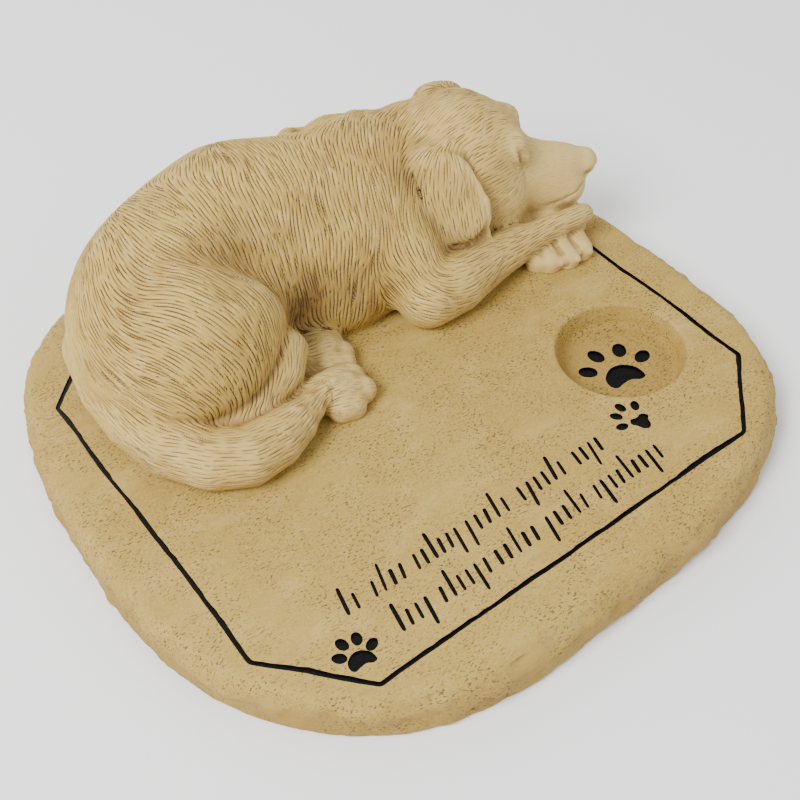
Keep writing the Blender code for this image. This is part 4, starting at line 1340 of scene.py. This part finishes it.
@dataclass(frozen=True)
class CoatFinish:
    """The dog: cream cast stone with washed-in brown left in the cuts and hollows and rubbed off the ridges, a painted
    highlight on the crests between the cuts, and patches of painted shade.
    """

    name: str = "washed_coat"
    cream: Triple = (0.49, 0.325, 0.073)
    pale: Triple = (0.64, 0.475, 0.185)
    ochre: Triple = (0.34, 0.195, 0.034)
    rust: Triple = (0.155, 0.076, 0.018)
    brown: Triple = (0.065, 0.028, 0.007)

    def material(self) -> bpy.types.Material:
        """The node tree of the finish."""
        n = Nodes(self.name)
        groove, hollow, wash, smooth = (n.stored(name) for name in ("groove", "hollow", "wash", "smooth"))
        aside = n.stored("across_sin").angle(n.stored("across_cos")) * (1.0 / math.pi)
        broad, patchy, fine = n.grain(22.0, 2.0), n.grain(6.0, 3.0), n.grain(0.9, 4.0)
        line = (1.0 - (aside + (fine - 0.5) * 0.25).between(0.05, 0.38)) * groove
        base = n.mix((broad.between(0.35, 0.68) * 0.6).kept(), self.cream, self.ochre)
        base = n.mix((patchy.between(0.50, 0.78) * 0.5).kept(), base, self.pale)
        base = n.mix((smooth.between(0.15, 0.85) * 0.55).kept(), base, self.pale)
        # Paler on convex parts and on the crests between the cuts: partly the washed-in brown rubbed off, partly
        # painted highlight
        worn_and_highlit = (0.0 - hollow).between(0.10, 0.80) * 0.40 + aside.between(0.5, 1.0) * groove * 0.35
        base = n.mix(worn_and_highlit.kept(), base, self.pale)
        # Rust in the hollows, low near the slab and in the patches, which are partly washed-in brown and partly painted
        # shade
        soak_and_shade = hollow.between(0.10, 0.90) * 0.65 + wash * (0.50 + patchy * 0.7)
        base = n.mix((soak_and_shade * (0.75 + fine * 0.5)).kept() * 0.90, base, self.rust)
        # Dark brown in the cuts, and more of it in the patches of partly painted shade
        soak_and_shade = line * (0.95 + patchy * 0.6) + wash * patchy * 0.35
        colour = n.mix((soak_and_shade * (0.75 + fine * 0.5)).kept() * 0.88, base, self.brown)
        n.plug(n.shader.inputs["Base Color"], colour)
        n.plug(n.shader.inputs["Roughness"], 0.58 + fine * 0.2)
        n.shader.inputs["Specular IOR Level"].default_value = 0.4
        n.bump(fine * 0.45 - line * 1.2, 0.7, 0.00030)
        return n.material


@dataclass(frozen=True)
class SlabFinish:
    """The slab: sandy cream with small dark pores, faint streaks and brown stains low on its sides."""

    name: str = "sandy_slab"
    cream: Triple = (0.405, 0.272, 0.058)
    pale: Triple = (0.50, 0.355, 0.115)
    ochre: Triple = (0.345, 0.210, 0.034)
    brown: Triple = (0.15, 0.080, 0.018)
    pore: Triple = (0.11, 0.065, 0.02)

    def material(self) -> bpy.types.Material:
        """The node tree of the finish."""
        n = Nodes(self.name)
        broad, patchy = n.grain(34.0, 3.0), n.grain(9.0, 4.0, 0.6, (0.55, 1.0, 1.0), 0.35)
        streak = n.grain(2.4, 4.0, 0.65, (0.40, 1.0, 1.0), 0.45)
        sand = n.grain(0.75, 3.0, 0.7)
        base = n.mix((broad.between(0.36, 0.70) * 0.5).kept(), self.cream, self.ochre)
        base = n.mix((patchy.between(0.45, 0.80) * 0.65).kept(), base, self.pale)
        base = n.mix((streak.between(0.48, 0.70) * 0.55).kept(), base, self.ochre)
        base = n.mix((sand.between(0.50, 0.68) * 0.60).kept(), base, self.pale)
        edge = n.height().between(14.8 * MM, 7.0 * MM)
        base = n.mix((edge * (0.25 + broad * 0.6)).kept(), base, self.ochre)
        base = n.mix(n.height().between(9.0 * MM, 7.2 * MM) * 0.16, base, self.brown)
        stain = n.grain(13.0, 5.0, 0.65).between(0.60, 0.82) * (0.25 + edge * 0.5)
        base = n.mix(stain.kept(), base, self.brown)
        crowd = n.grain(14.0, 2.0).between(0.30, 0.60)
        speck = n.grain(0.55, 2.0, 0.5, (0.45, 1.0, 1.0), 0.45).between(0.58, 0.66)
        pore = (speck * crowd).kept()
        colour = n.mix(pore * 0.9, base, self.pore)
        n.plug(n.shader.inputs["Base Color"], colour)
        n.plug(n.shader.inputs["Roughness"], 0.60 + patchy * 0.2)
        n.shader.inputs["Specular IOR Level"].default_value = 0.4
        rock = n.grain(5.5, 5.0, 0.6) * (0.4 + edge * 5.0)
        n.bump(sand * 0.9 + streak * 1.2 + rock - pore * 1.2, 0.6, 0.00028)
        return n.material


@dataclass(frozen=True)
class PaintFinish:
    """The black enamel in the cuts, laid on by brush."""

    name: str = "black_enamel"
    black: Triple = (0.0015, 0.0012, 0.0016)
    worn: Triple = (0.009, 0.007, 0.009)

    def material(self) -> bpy.types.Material:
        """The node tree of the finish."""
        n = Nodes(self.name)
        patchy = n.grain(1.6, 3.0)
        n.plug(n.shader.inputs["Base Color"], n.mix(patchy.between(0.55, 0.8), self.black, self.worn))
        n.plug(n.shader.inputs["Roughness"], 0.30 + patchy * 0.25)
        n.shader.inputs["Specular IOR Level"].default_value = 0.12
        n.bump(patchy, 0.5, 0.00025)
        return n.material


@dataclass(frozen=True)
class FloorFinish:
    """A plain pale floor."""

    name: str = "pale_floor"
    white: Triple = (0.94, 0.94, 0.94)

    def material(self) -> bpy.types.Material:
        """The material of the finish."""
        n = Nodes(self.name)
        n.shader.inputs["Base Color"].default_value = (*self.white, 1.0)
        n.shader.inputs["Roughness"].default_value = 0.9
        return n.material


@dataclass
class Studio:
    """Floor, soft light and the camera."""

    eye: Triple = (-0.15262, -0.23241, 0.30209)
    right: Triple = (0.80053, -0.59758, -0.04750)
    up: Triple = (0.46447, 0.56822, 0.67928)
    ahead: Triple = (0.37892, 0.56582, -0.73233)
    lens: float = 55.21

    def build(self) -> None:
        """Sets the scene round the stone."""
        self._camera()
        self._floor()
        self._light("key_light", (-0.75, -0.10, 0.90), 0.55, 20.0)
        self._light("fill_light", (0.70, -0.85, 0.60), 0.9, 4.5)
        self._light("back_light", (0.25, 0.95, 0.75), 0.8, 6.0)
        world = bpy.data.worlds.new("studio_air")
        world.use_nodes = True
        air = world.node_tree.nodes["Background"]
        air.inputs[0].default_value = (1.0, 1.0, 1.0, 1.0)
        air.inputs[1].default_value = 0.72
        bpy.context.scene.world = world

    def _camera(self) -> None:
        """The camera, from the front left and above."""
        lens = bpy.data.cameras.new("photo_camera")
        lens.lens = self.lens
        lens.sensor_width = 36.0
        lens.clip_start = 0.01
        camera = bpy.data.objects.new("photo_camera", lens)
        bpy.context.scene.collection.objects.link(camera)
        turn = Matrix((self.right, self.up, tuple(-c for c in self.ahead))).transposed().to_4x4()
        camera.matrix_world = Matrix.Translation(self.eye) @ turn
        bpy.context.scene.camera = camera

    def _floor(self) -> None:
        """The floor, level with the stone's underside."""
        bm = bmesh.new()
        bmesh.ops.create_grid(bm, x_segments=1, y_segments=1, size=2.5)
        mesh = bpy.data.meshes.new("floor")
        bm.to_mesh(mesh)
        bm.free()
        floor = new_object("floor", mesh)
        mesh.materials.append(FloorFinish().material())

    def _light(self, name: str, place: Triple, size: float, power: float) -> None:
        """A square light that faces the stone.

        Args:
            name: its name.
            place: where it hangs.
            size: its side.
            power: its power in watts.
        """
        light = bpy.data.lights.new(name, "AREA")
        light.energy = power
        light.size = size
        lamp = bpy.data.objects.new(name, light)
        bpy.context.scene.collection.objects.link(lamp)
        lamp.matrix_world = Matrix.Translation(place) @ Vector(place).to_track_quat("Z", "Y").to_matrix().to_4x4()


def main() -> None:
    """Builds the studio and the stone, piece by piece."""
    logging.basicConfig(level=logging.INFO, format="%(name)s %(relativeCreated)d ms: %(message)s")
    Studio().build()
    log.info("studio built")
    stone, paint, coat = SlabFinish().material(), PaintFinish().material(), CoatFinish().material()
    pieces = [Slab().build(paint, stone)]
    log.info("slab: %d faces", len(pieces[0].data.polygons))
    for piece in Dog().build():
        piece.data.materials.append(coat)
        pieces.append(piece)
    for piece in pieces:
        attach(piece, "root")
        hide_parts(NODE)
        log.info("%s rides on the root", piece.name)


if __name__ == "__main__":
    main()
